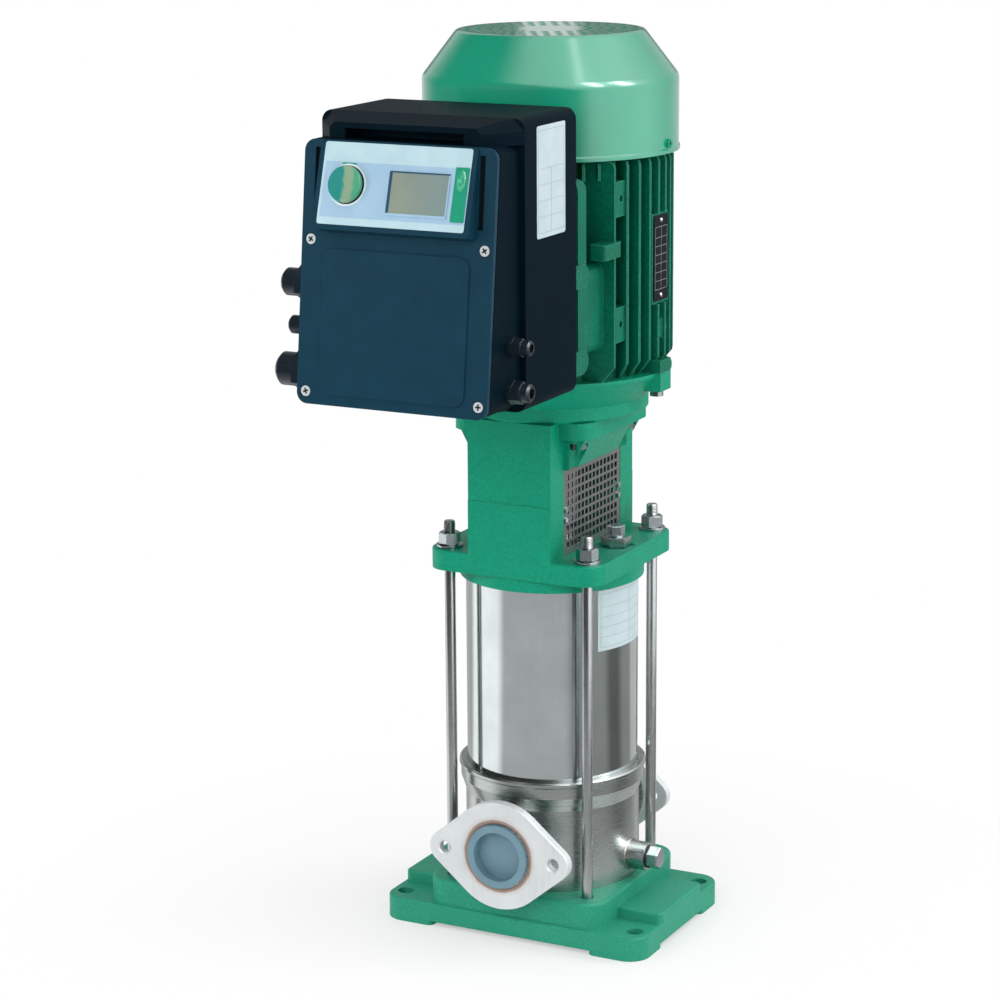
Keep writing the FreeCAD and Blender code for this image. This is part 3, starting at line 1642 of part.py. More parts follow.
def stator_windings():
    """The two winding heads, above and below the core."""
    body = new_body("stator_windings")
    low = frame_bottom + (s.frame_height - s.stator_length) / 2
    high = low + s.stator_length
    inner = s.stator_bore + s.winding_inset
    for start, end in ((low - s.winding_height, low), (high, high + s.winding_height)):
        turn(body, [(inner, start), (s.winding_radius, start), (s.winding_radius, end), (inner, end)])
    return body


def rotor_core():
    body = new_body("rotor_core")
    low = frame_bottom + (s.frame_height - s.stator_length) / 2
    high = low + s.stator_length
    outer = s.stator_bore - s.rotor_gap
    ring_inner = outer - s.rotor_ring_width
    turn(body, [
        (s.motor_shaft_radius, low),
        (ring_inner, low),
        (ring_inner, low - s.rotor_ring_height),
        (outer, low - s.rotor_ring_height),
        (outer, high + s.rotor_ring_height),
        (ring_inner, high + s.rotor_ring_height),
        (ring_inner, high),
        (s.motor_shaft_radius, high),
    ])
    return body


def motor_shaft():
    body = new_body("motor_shaft")
    radius = s.motor_shaft_radius
    turn(body, [
        (0, s.motor_shaft_bottom),
        (radius - s.shaft_chamfer, s.motor_shaft_bottom),
        (radius, s.motor_shaft_bottom + s.shaft_chamfer),
        (radius, motor_shaft_top - s.shaft_chamfer),
        (radius - s.shaft_chamfer, motor_shaft_top),
        (0, motor_shaft_top),
    ])
    return body


def motor_bearings():
    body = new_body("motor_bearings")
    inner = s.motor_shaft_radius + s.shaft_fit
    for low in (lower_bearing_bottom, upper_bearing_bottom):
        high = low + s.bearing_width
        turn(body, [(inner, low), (s.bearing_outer, low), (s.bearing_outer, high), (inner, high)])
    return body


def end_shield():
    """The non-drive-end shield with four lugs that carry the fan cowl."""
    body = new_body("end_shield")
    hole = s.motor_shaft_radius + s.shaft_clearance
    stop = upper_bearing_bottom - s.bearing_stop
    turn(body, [
        (hole, stop),
        (s.bearing_hub_radius, stop),
        (s.bearing_hub_radius, frame_top),
        (s.end_shield_radius, frame_top),
        (s.end_shield_radius, end_shield_top),
        (s.bearing_outer, end_shield_top),
        (s.bearing_outer, upper_bearing_bottom),
        (hole, upper_bearing_bottom),
    ])
    lugs = new_sketch(body, "XY", frame_top + s.cowl_overlap)
    reach = s.cowl_radius - s.cowl_wall
    half = s.end_shield_lug
    add_rectangle(lugs, s.end_shield_radius - s.end_shield_lug_depth, reach - s.cowl_slack, -half, half)
    lug = pad(body, lugs, end_shield_top - frame_top - s.cowl_overlap)
    polar(body, [lug], 4)
    tapped = new_sketch(body, "YZ", s.end_shield_radius - s.cowl_screw_hole)
    add_circle(tapped, 0, cowl_bottom + s.cowl_screw_rise, s.cowl_screw_radius + s.thread_slack)
    hole_cut = pocket(body, tapped, s.cowl_radius, Reversed=True)
    polar(body, [hole_cut], 4)
    return body


def fan():
    body = new_body("fan")
    turn(body, [
        (s.motor_shaft_radius, fan_bottom),
        (s.fan_radius, fan_bottom),
        (s.fan_radius, fan_bottom + s.fan_disc),
        (s.fan_hub_radius, fan_bottom + s.fan_disc),
        (s.fan_hub_radius, fan_bottom + s.fan_height),
        (s.motor_shaft_radius, fan_bottom + s.fan_height),
    ])
    blade_root = s.fan_hub_radius - s.fan_blade_root
    blade = new_sketch(body, "XZ")
    add_outline(blade, [
        (blade_root, fan_bottom + s.fan_disc),
        (s.fan_radius, fan_bottom + s.fan_disc),
        (s.fan_radius, fan_bottom + s.fan_height / 2),
        (s.fan_blade_top, fan_bottom + s.fan_height),
        (blade_root, fan_bottom + s.fan_height),
    ])
    one = pad(body, blade, s.fan_blade_thickness, Midplane=True)
    polar(body, [one], s.fan_blades)
    return body


def fan_cowl():
    """The fan's cover: a turned sheet with rings of round holes in its flat top."""
    body = new_body("fan_cowl")
    wall = s.cowl_wall
    inner = s.cowl_radius - wall
    shell = turn(body, [
        (inner, cowl_bottom),
        (s.cowl_rim_radius, cowl_bottom),
        (s.cowl_rim_radius, cowl_bottom + s.cowl_rim_height),
        (s.cowl_radius, cowl_bottom + s.cowl_rim_height + s.cowl_rim_slope),
        (s.cowl_radius, cowl_shoulder),
        (s.cowl_top_radius, cowl_top),
        (0, cowl_top),
        (0, cowl_top - wall),
        (s.cowl_top_radius - wall / 2, cowl_top - wall),
        (inner, cowl_shoulder - wall / 2),
    ])
    shoulder = round_edges(body, shell, at_height(cowl_shoulder), s.cowl_shoulder_round)
    round_edges(body, shoulder, at_height(cowl_top), s.cowl_top_round)
    for i in range(int(s.grille_rings.value)):
        hole = new_sketch(body, "XY", cowl_top)
        add_circle(hole, s.grille_inner + i * s.grille_pitch, 0, s.grille_hole / 2)
        one = pocket(body, hole, 2 * wall)
        polar(body, [one], s.grille_first_count + i * s.grille_more)
    screw = new_sketch(body, "YZ", 0)
    add_circle(screw, 0, cowl_bottom + s.cowl_screw_rise, s.cowl_screw_radius + s.thread_slack)
    hole_cut = pocket(body, screw, s.cowl_rim_radius, Reversed=True)
    polar(body, [hole_cut], 4)
    return body


def cowl_screws():
    body = new_body("cowl_screws")
    height = cowl_bottom + s.cowl_screw_rise
    head = new_sketch(body, "YZ", s.cowl_radius)
    add_circle(head, 0, height, s.cowl_screw_head_radius)
    first = pad(body, head, s.cowl_screw_head_height)
    shank = new_sketch(body, "YZ", s.end_shield_radius - s.cowl_screw_bite)
    add_circle(shank, 0, height, s.cowl_screw_radius)
    second = pad(body, shank, s.cowl_radius - s.end_shield_radius + s.cowl_screw_bite)
    polar(body, [first, second], 4)
    return body


# Drive in front of the motor. Its cover leans back, and the display on it leans back further.

def leaning_sketch(body, reach, height, tilt, lift=0):
    """A sketch on a plane that leans back by tilt, through the point reach in front and height up."""
    sketch = new_sketch(body, "XZ")
    offset = FreeCAD.Placement(Vector(0, 0, 0), FreeCAD.Rotation(Vector(1, 0, 0), -tilt.value))
    sketch.AttachmentOffset = offset
    sketch.setExpression("AttachmentOffset.Rotation.Angle", f"-1 * {tilt.text} * 1 deg")
    sketch.setExpression("AttachmentOffset.Base.y", (height + lift * sine(tilt)).text)
    sketch.setExpression("AttachmentOffset.Base.z", (reach + lift * cosine(tilt)).text)
    return sketch


def cover_sketch(body, lift=0):
    return leaning_sketch(body, s.cover_reach, s.cover_low, s.cover_tilt, lift)


def display_sketch(body, lift=0):
    return leaning_sketch(body, s.display_reach, s.display_low, s.display_tilt, lift)


def drive_carrier():
    """The cast plate on the frame's saddle that the drive bolts to."""
    body = new_body("drive_carrier")
    low = frame_bottom + s.carrier_low
    plate = new_sketch(body, "XZ", s.saddle_front)
    add_rounded(plate, -s.carrier_half, s.carrier_half, low, low + s.carrier_height, s.carrier_corner)
    pad(body, plate, s.carrier_front - s.saddle_front)
    room = new_sketch(body, "XY", frame_bottom)
    add_circle(room, 0, 0, s.fin_tip + s.carrier_slack)
    pocket(body, room, s.carrier_height + 2 * s.carrier_low, Reversed=True)
    far = -s.lug_reach
    near = -(s.saddle_front + s.lug_radius)
    for side in (-1, 1):
        for height in (s.lug_height, s.lug_low_height):
            lug = new_sketch(body, "YZ", side * s.lug_inner)
            add_belt(lug, [(far, height, s.lug_radius), (near, height, s.lug_radius)])
            pad(body, lug, s.lug_outer - s.lug_inner, Reversed=side < 0)
            disc = new_sketch(body, "YZ", side * s.lug_outer)
            add_circle(disc, far, height, s.lug_disc_radius)
            pad(body, disc, s.lug_disc_height, Reversed=side < 0)
    return body


def drive_housing():
    body = new_body("drive_housing")
    low = s.drive_bottom
    high = low + s.drive_height
    rear = new_sketch(body, "XZ", s.drive_rear)
    add_rounded(rear, -s.drive_half, s.drive_half, low, high, s.drive_corner)
    pad(body, rear, s.drive_ridge - s.drive_rear)
    front = new_sketch(body, "XZ", s.drive_ridge)
    top = s.cover_low + s.cover_height * cosine(s.cover_tilt)
    add_rounded(front, -s.drive_front_half, s.drive_front_half, s.cover_low, top, s.cover_corner)
    pad(body, front, s.cover_reach - s.drive_ridge)
    neck = new_sketch(body, "XZ", s.carrier_front)
    neck_low = frame_bottom + s.neck_low
    add_rounded(neck, -s.neck_half, s.neck_half, neck_low, neck_low + s.neck_height, s.carrier_corner)
    pad(body, neck, s.drive_rear - s.carrier_front)
    add_hood(body, top, high)
    seat = cover_sketch(body, -(s.cover_thickness + s.gasket_thickness))
    wide = s.drive_half
    add_rectangle(seat, -wide, wide, -s.drive_height, s.drive_height + s.cover_height)
    pocket(body, seat, s.cover_reach, Reversed=True)
    wall = s.drive_wall
    cavity = new_sketch(body, "XZ", s.drive_rear + wall)
    inside = s.drive_front_half - wall
    add_rounded(cavity, -inside, inside, s.cover_low + wall, top - wall, s.cover_corner - wall)
    pocket(body, cavity, s.cover_reach - s.drive_rear, Reversed=True)
    posts = cover_sketch(body, -(s.cover_thickness + s.gasket_thickness))
    cover_screw_circles(posts, s.cover_post_radius)
    pad(body, posts, s.cover_post_length, Reversed=True)
    tapped = cover_sketch(body, -(s.cover_thickness + s.gasket_thickness))
    cover_screw_circles(tapped, s.cover_screw_radius + s.thread_slack)
    pocket(body, tapped, s.cover_post_hole)
    for side, height, across, _ in gland_table():
        hole = new_sketch(body, "YZ")
        add_circle(hole, -s.gland_y, height, across * s.gland_thread_share + s.thread_slack)
        pocket(body, hole, s.drive_half, Reversed=side > 0)
    return body


def add_hood(body, low, high):
    """The hood that narrows from the housing's top edge to a lip over the display, slotted under the lip."""
    outlines = []
    for reach, half, top, corner in ((s.drive_ridge, s.drive_half, high, s.drive_corner),
                                     (s.hood_reach, s.hood_half, s.hood_lip, s.hood_lip_corner)):
        outline = new_sketch(body, "XZ", reach)
        add_outline(outline, [
            (-half, low - s.overlap),
            (half, low - s.overlap),
            (half, top - corner),
            (half - corner, top),
            (corner - half, top),
            (-half, top - corner),
        ])
        outlines.append(outline)
    loft = body.newObject("PartDesign::AdditiveLoft", body.Name + "_loft")
    loft.Profile = outlines[0]
    loft.Sections = [outlines[1]]
    loft.Ruled = True
    for outline in outlines:
        outline.Visibility = False
    slot = new_sketch(body, "XZ", s.hood_reach)
    add_rectangle(slot, -s.hood_slot_half, s.hood_slot_half, low, s.hood_lip - s.hood_slot_roof)
    pocket(body, slot, s.hood_slot_depth)


def cover_screw_circles(sketch, radius):
    half = s.cover_screw_span / 2
    for x in (-half, half):
        for i in range(2):
            add_circle(sketch, x, s.cover_screw_low + i * s.cover_screw_pitch, radius)


def cover_gasket():
    body = new_body("cover_gasket")
    inset = s.gasket_inset
    half = s.drive_front_half - inset
    width = s.gasket_width
    high = s.cover_height - inset
    band = cover_sketch(body, -s.cover_thickness)
    add_rounded(band, -half, half, inset, high, s.cover_corner)
    add_rounded(band, width - half, half - width, inset + width, high - width, s.gasket_corner)
    pad(body, band, s.gasket_thickness, Reversed=True)
    holes = cover_sketch(body, -s.cover_thickness)
    cover_screw_circles(holes, s.cover_screw_radius + s.thread_slack)
    pocket(body, holes, s.gasket_thickness)
    return body


def front_cover():
    body = new_body("front_cover")
    plate = cover_sketch(body)
    half = s.drive_front_half
    add_rounded(plate, -half, half, dim(0), s.cover_height, s.cover_corner)
    pad(body, plate, s.cover_thickness, Reversed=True)
    raised = cover_sketch(body)
    low = s.cover_raised_low
    side = s.cover_raised_half
    add_rounded(raised, -side, side, low, low + s.cover_raised_height, s.cover_corner)
    pad(body, raised, s.cover_raised_step)
    recess = cover_sketch(body)
    cover_screw_circles(recess, s.cover_screw_head_radius + s.cover_screw_recess)
    pocket(body, recess, s.cover_screw_head_height)
    holes = cover_sketch(body)
    cover_screw_circles(holes, s.cover_screw_radius + s.thread_slack)
    pocket(body, holes, s.cover_thickness)
    slots = cover_sketch(body)
    near = s.side_slot_inner
    far = s.side_slot_outer
    add_rectangle(slots, near, far, s.side_slot_low, s.side_slot_high)
    add_rectangle(slots, -far, -near, s.side_slot_low, s.side_slot_high)
    pocket(body, slots, s.side_slot_depth)
    cut_encoder_hole(body)
    return body


def cut_encoder_hole(body):
    """A hole for the knob's spindle, square to the display."""
    hole = display_sketch(body, s.foil_thickness)
    add_circle(hole, s.knob_x, s.knob_rise, s.encoder_radius + s.encoder_hole_slack)
    pocket(body, hole, s.encoder_hole_depth)


def cover_screws():
    body = new_body("cover_screws")
    seat = -s.cover_screw_head_height
    heads = cover_sketch(body, seat)
    cover_screw_circles(heads, s.cover_screw_head_radius)
    pad(body, heads, s.cover_screw_head_height - s.cover_screw_sink)
    shanks = cover_sketch(body, seat)
    cover_screw_circles(shanks, s.cover_screw_radius)
    pad(body, shanks, s.cover_screw_length, Reversed=True)
    return body


def display_frame():
    """The wedge that turns the display up towards the reader."""
    body = new_body("display_frame")
    lip = s.display_frame_lip
    block = display_sketch(body, s.foil_thickness)
    half = s.display_frame_half
    add_rounded(block, -half, half, -lip, s.display_length, s.display_corner)
    pad(body, block, s.display_frame_depth, Reversed=True)
    behind = cover_sketch(body)
    add_rectangle(behind, -s.drive_half, s.drive_half, -s.drive_height, s.drive_height)
    pocket(body, behind, s.drive_half)
    seat = display_sketch(body, s.foil_thickness)
    add_foil(seat)
    pocket(body, seat, s.foil_thickness)
    cut_encoder_hole(body)
    return body


def add_foil(sketch):
    high = s.display_length - s.foil_margin
    add_rounded(sketch, -s.display_half, s.display_half, dim(0), high, s.display_corner - s.foil_margin)


def display_foil():
    body = new_body("display_foil")
    sheet = display_sketch(body)
    add_foil(sheet)
    pad(body, sheet, s.foil_thickness)
    cut_encoder_hole(body)
    return body


def screen():
    body = new_body("screen")
    sheet = display_sketch(body, s.foil_thickness)
    add_rectangle(sheet, s.screen_left, s.screen_right, s.screen_low, s.screen_high)
    pad(body, sheet, s.screen_thickness)
    return body


def place_on_display(body, x, rise, lift):
    """Stands a piece that was turned about Z on the display, its axis square to the display."""
    tilt = s.display_tilt
    y = rise * sine(tilt) - s.display_reach - lift * cosine(tilt)
    z = s.display_low + rise * cosine(tilt) + lift * sine(tilt)
    return place(body, x=x, y=y, z=z, axis=Vector(1, 0, 0), angle=90 - tilt)


def control_knob():
    body = new_body("control_knob")
    radius = s.knob_radius
    height = s.knob_height
    edge = radius - s.knob_edge
    rim = edge - s.knob_rim
    turn(body, [
        (0, 0),
        (radius, 0),
        (radius, s.knob_skirt),
        (edge, height),
        (rim, height),
        (rim - s.knob_dish, height - s.knob_dish),
        (0, height - s.knob_dish),
    ])
    groove = new_sketch(body, "XY", height)
    add_circle(groove, radius + s.knob_groove_out, 0, s.knob_groove_radius)
    cut = pocket(body, groove, height)
    polar(body, [cut], s.knob_grooves)
    return place_on_display(body, s.knob_x, s.knob_rise, s.foil_thickness + s.knob_lift)


def encoder_spindle():
    body = new_body("encoder_spindle")
    length = s.knob_lift + s.encoder_depth
    spindle = new_sketch(body, "XY", -length)
    add_circle(spindle, 0, 0, s.encoder_radius)
    pad(body, spindle, length)
    return place_on_display(body, s.knob_x, s.knob_rise, s.foil_thickness + s.knob_lift)


def circuit_board():
    board = doc.addObject("Part::Box", "circuit_board")
    board.Label = "circuit_board"
    half = s.drive_front_half - s.drive_wall - s.board_slack
    low = s.cover_low + s.board_inset
    board.setExpression("Length", (2 * half).text)
    board.setExpression("Width", s.board_thickness.text)
    board.setExpression("Height", (s.cover_height - 2 * s.board_inset).text)
    return place(board, x=-half, y=-(s.drive_ridge - s.board_inset), z=low)


# Cable glands: (side, height, width across flats, length)

def gland_table():
    return [
        (-1, s.gland_m20_height, s.gland_m20_across, s.gland_m20_length),
        (-1, s.gland_m12_height, s.gland_m12_across, s.gland_m12_length),
        (-1, s.gland_m25_height, s.gland_m25_across, s.gland_m25_length),
        (1, s.gland_right_small_height, s.gland_right_small_across, s.gland_right_length),
        (1, s.gland_right_large_height, s.gland_right_large_across, s.gland_right_length),
    ]


def gland_bodies():
    body = new_body("gland_bodies")
    for side, height, across, _ in gland_table():
        spigot = new_sketch(body, "YZ", side * s.drive_front_half)
        add_circle(spigot, -s.gland_y, height, across * s.gland_thread_share)
        pad(body, spigot, s.gland_spigot, Reversed=side > 0)
        flange = new_sketch(body, "YZ", side * s.drive_front_half)
        add_hexagon(flange, -s.gland_y, height, across)
        pad(body, flange, s.gland_lock_height, Reversed=side < 0)
    return body


def gland_nuts():
    body = new_body("gland_nuts")
    for side, height, across, length in gland_table():
        start = s.drive_front_half + s.gland_lock_height
        half_way = (length - s.gland_lock_height) / 2
        grip = new_sketch(body, "YZ", side * start)
        add_hexagon(grip, -s.gland_y, height, across * s.gland_nut_share)
        pad(body, grip, half_way, Reversed=side < 0)
        dome = new_sketch(body, "YZ", side * (start + half_way))
        add_circle(dome, -s.gland_y, height, across * s.gland_dome_share)
        round_end = pad(body, dome, half_way, Reversed=side < 0)
        tip = side * (start + half_way * 2)
        at_tip = at_reach(tip)
        own = height.value
        break_edges(body, round_end, lambda edge: at_tip(edge) and abs(edge.BoundBox.Center.z - own) < 1e-3,
                    across * s.gland_edge_share)
        bore = new_sketch(body, "YZ", tip)
        add_circle(bore, -s.gland_y, height, across * s.gland_bore_share)
        pocket(body, bore, s.gland_bore_depth, Reversed=side < 0)
    return body


SUB_PARTS = [
    base_plate(),
    tie_rods(),
    tie_rod_washers(),
    tie_rod_nuts(),
    bottom_housing(),
    outer_sleeve(),
    sleeve_seals(),
    suction_duct(),
    port_stubs(),
    port_flange("inlet_flange", -1),
    port_flange("outlet_flange", 1),
    port_cap("inlet_cap", -1),
    port_cap("outlet_cap", 1),
    drain_boss(),
    drain_washer(),
    drain_plug(),
    vent_body(),
    vent_washer(),
    vent_screw(),
    lantern(),
    guard("right_guard", 1),
    guard("left_guard", -1),
    guard_screws(),
    seal_plate(),
    seal_seat(),
    seal_rotor(),
    pump_shaft(),
    foot_bearing(),
    stage_casings(),
    impellers(),
    coupling_half("rear_coupling_half", 1),
    coupling_half("front_coupling_half", -1),
    coupling_screws(),
    motor_flange(),
    motor_bolts(),
    shield_screws(),
    motor_frame(),
    nameplate(),
    stator_core(),
    stator_windings(),
    rotor_core(),
    motor_shaft(),
    motor_bearings(),
    end_shield(),
    fan(),
    fan_cowl(),
    cowl_screws(),
    drive_carrier(),
    drive_housing(),
    cover_gasket(),
    front_cover(),
    cover_screws(),
    display_frame(),
    display_foil(),
    screen(),
    control_knob(),
    encoder_spindle(),
    circuit_board(),
    gland_bodies(),
    gland_nuts(),
]

doc.recompute()

faults = [item.Name for item in doc.Objects if "Invalid" in item.State or "Error" in item.State]
faults += [item.Label for item in SUB_PARTS if item.Shape.isNull() or not item.Shape.isValid()]
if faults:
    raise SystemExit("these did not build: " + ", ".join(faults))

os.makedirs("parts", exist_ok=True)
for item in SUB_PARTS:
    item.Shape.exportStep(os.path.join("parts", item.Label + ".step"))
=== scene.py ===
# Looks of an in-line multistage water pump with its motor on top and a drive in front.
# Pieces are in millimetres, in the same frame as the construction, and go to metres in build().
# Camera, floor, boards, lamps and the coordinates inside materials are in metres.

import json
import math

import bmesh
import bpy
from mathutils import Matrix, Vector

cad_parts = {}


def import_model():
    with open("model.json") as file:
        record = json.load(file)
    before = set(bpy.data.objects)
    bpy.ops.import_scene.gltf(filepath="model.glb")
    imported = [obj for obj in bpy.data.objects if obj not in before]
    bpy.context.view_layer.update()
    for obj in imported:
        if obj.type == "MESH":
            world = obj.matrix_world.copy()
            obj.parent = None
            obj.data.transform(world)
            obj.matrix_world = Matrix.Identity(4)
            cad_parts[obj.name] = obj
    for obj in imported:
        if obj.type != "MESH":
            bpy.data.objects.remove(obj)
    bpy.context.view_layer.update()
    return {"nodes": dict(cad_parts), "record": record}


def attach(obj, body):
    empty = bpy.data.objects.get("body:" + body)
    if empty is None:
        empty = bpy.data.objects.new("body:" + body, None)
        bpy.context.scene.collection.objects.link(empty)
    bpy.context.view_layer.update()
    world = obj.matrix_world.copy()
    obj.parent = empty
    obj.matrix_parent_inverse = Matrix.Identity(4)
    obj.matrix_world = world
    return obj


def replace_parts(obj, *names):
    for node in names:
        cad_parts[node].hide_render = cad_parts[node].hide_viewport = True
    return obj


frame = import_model()
nodes = frame["nodes"]

MM = 0.001
PORT_HEIGHT = 80
HOUSING_RADIUS = 73.5
DRAIN_HEIGHT = 61
SLEEVE_RADIUS = 72
COVER_LEAN = (486, 271, 6.3)
DISPLAY_LEAN = (623, 267.5, 16.5)


# Meshes

def build(name, verts, faces, finish, body="root", slot=None, angle=35.0):
    """A piece of the object from points in millimetres."""
    mesh = bpy.data.meshes.new(name)
    mesh.from_pydata([Vector(v) * MM for v in verts], [], faces)
    mesh.validate()
    bm = bmesh.new()
    bm.from_mesh(mesh)
    bmesh.ops.recalc_face_normals(bm, faces=bm.faces)
    bm.to_mesh(mesh)
    bm.free()
    mesh.shade_smooth()
    mesh.set_sharp_from_angle(angle=math.radians(angle))
    piece = bpy.data.objects.new(name, mesh)
    bpy.context.scene.collection.objects.link(piece)
    mesh.materials.append(finish)
    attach(piece, body)
    return piece


def lathe(profile, steps=48):
    """A closed turned solid about local Z from (radius, height) points. A radius of 0 ends it on the axis."""
    verts = []
    rings = []
    for radius, height in profile:
        if radius == 0:
            rings.append([len(verts)] * steps)
            verts.append((0, 0, height))
            continue
        rings.append(list(range(len(verts), len(verts) + steps)))
        for i in range(steps):
            turn = 2 * math.pi * i / steps
            verts.append((radius * math.cos(turn), radius * math.sin(turn), height))
    faces = []
    hollow = profile[0][0] and profile[-1][0]
    for low, high in zip(rings, rings[1:] + (rings[:1] if hollow else [])):
        for i in range(steps):
            j = (i + 1) % steps
            face = []
            for v in (low[i], low[j], high[j], high[i]):
                if v not in face:
                    face.append(v)
            if len(face) > 2:
                faces.append(face)
    return verts, faces


def prism(outline, low, high):
    """A plate of any outline from one height to another, in local coordinates."""
    count = len(outline)
    verts = [(x, y, low) for x, y in outline] + [(x, y, high) for x, y in outline]
    faces = [list(range(count))[::-1], list(range(count, 2 * count))]
    faces += [[i, (i + 1) % count, (i + 1) % count + count, i + count] for i in range(count)]
    return verts, faces


def rounded(width, height, corner, steps=6, centre=(0, 0)):
    """The outline of a rectangle with round corners."""
    points = []
    for k, (sx, sy) in enumerate(((1, 1), (-1, 1), (-1, -1), (1, -1))):
        for i in range(steps + 1):
            turn = math.pi / 2 * (k + i / steps)
            points.append((centre[0] + sx * (width / 2 - corner) + corner * math.cos(turn),
                           centre[1] + sy * (height / 2 - corner) + corner * math.sin(turn)))
    return points


def joined(parts):
    """Several (points, faces) meshes as one."""
    verts, faces = [], []
    for points, sides in parts:
        start = len(verts)
        verts += points
        faces += [[v + start for v in side] for side in sides]
    return verts, faces


def at(matrix, part):
    """A (points, faces) mesh moved by a matrix."""
    verts, faces = part
    return [matrix @ Vector(v) for v in verts], faces


def lean(low, reach, tilt):
    """From (across, rise, lift) on a plane that leans back, to the object's own coordinates."""
    back = math.radians(tilt)
    rise = Vector((0, math.sin(back), math.cos(back)))
    lift = Vector((0, -math.cos(back), math.sin(back)))
    columns = Matrix((Vector((1, 0, 0)), rise, lift)).transposed().to_4x4()
    return Matrix.Translation((0, -reach, low)) @ columns


def facing(point, direction, up=(0, 0, 1)):
    """A place whose local Z points along direction."""
    z = Vector(direction).normalized()
    y = Vector(up) - z * z.dot(Vector(up))
    y = y.normalized() if y.length > 1e-6 else Vector((0, 1, 0))
    x = y.cross(z)
    return Matrix.Translation(point) @ Matrix((x, y, z)).transposed().to_4x4()


RIPPLE = 0.10
RIPPLE_TURN = 2.3


def sweep(path, section):
    """A rippled tube of a given section along a closed path of points."""
    count = len(path)
    verts, faces = [], []
    sides = len(section)
    for i, point in enumerate(path):
        along = (Vector(path[(i + 1) % count]) - Vector(path[i - 1])).normalized()
        aside = along.cross(Vector((0, 0, 1)))
        if aside.length < 1e-4:
            aside = along.cross(Vector((0, 1, 0)))
        aside.normalize()
        upward = aside.cross(along)
        swell = 1 + RIPPLE * math.sin(i * RIPPLE_TURN)
        verts += [Vector(point) + (aside * a + upward * b) * swell for a, b in section]
    for i in range(count):
        for k in range(sides):
            a, b = i * sides, (i + 1) % count * sides
            faces.append([a + k, a + (k + 1) % sides, b + (k + 1) % sides, b + k])
    return verts, faces


def circle(radius, sides=10):
    turns = [2 * math.pi * k / sides for k in range(sides)]
    return [(radius * math.cos(turn), radius * math.sin(turn)) for turn in turns]


# Materials

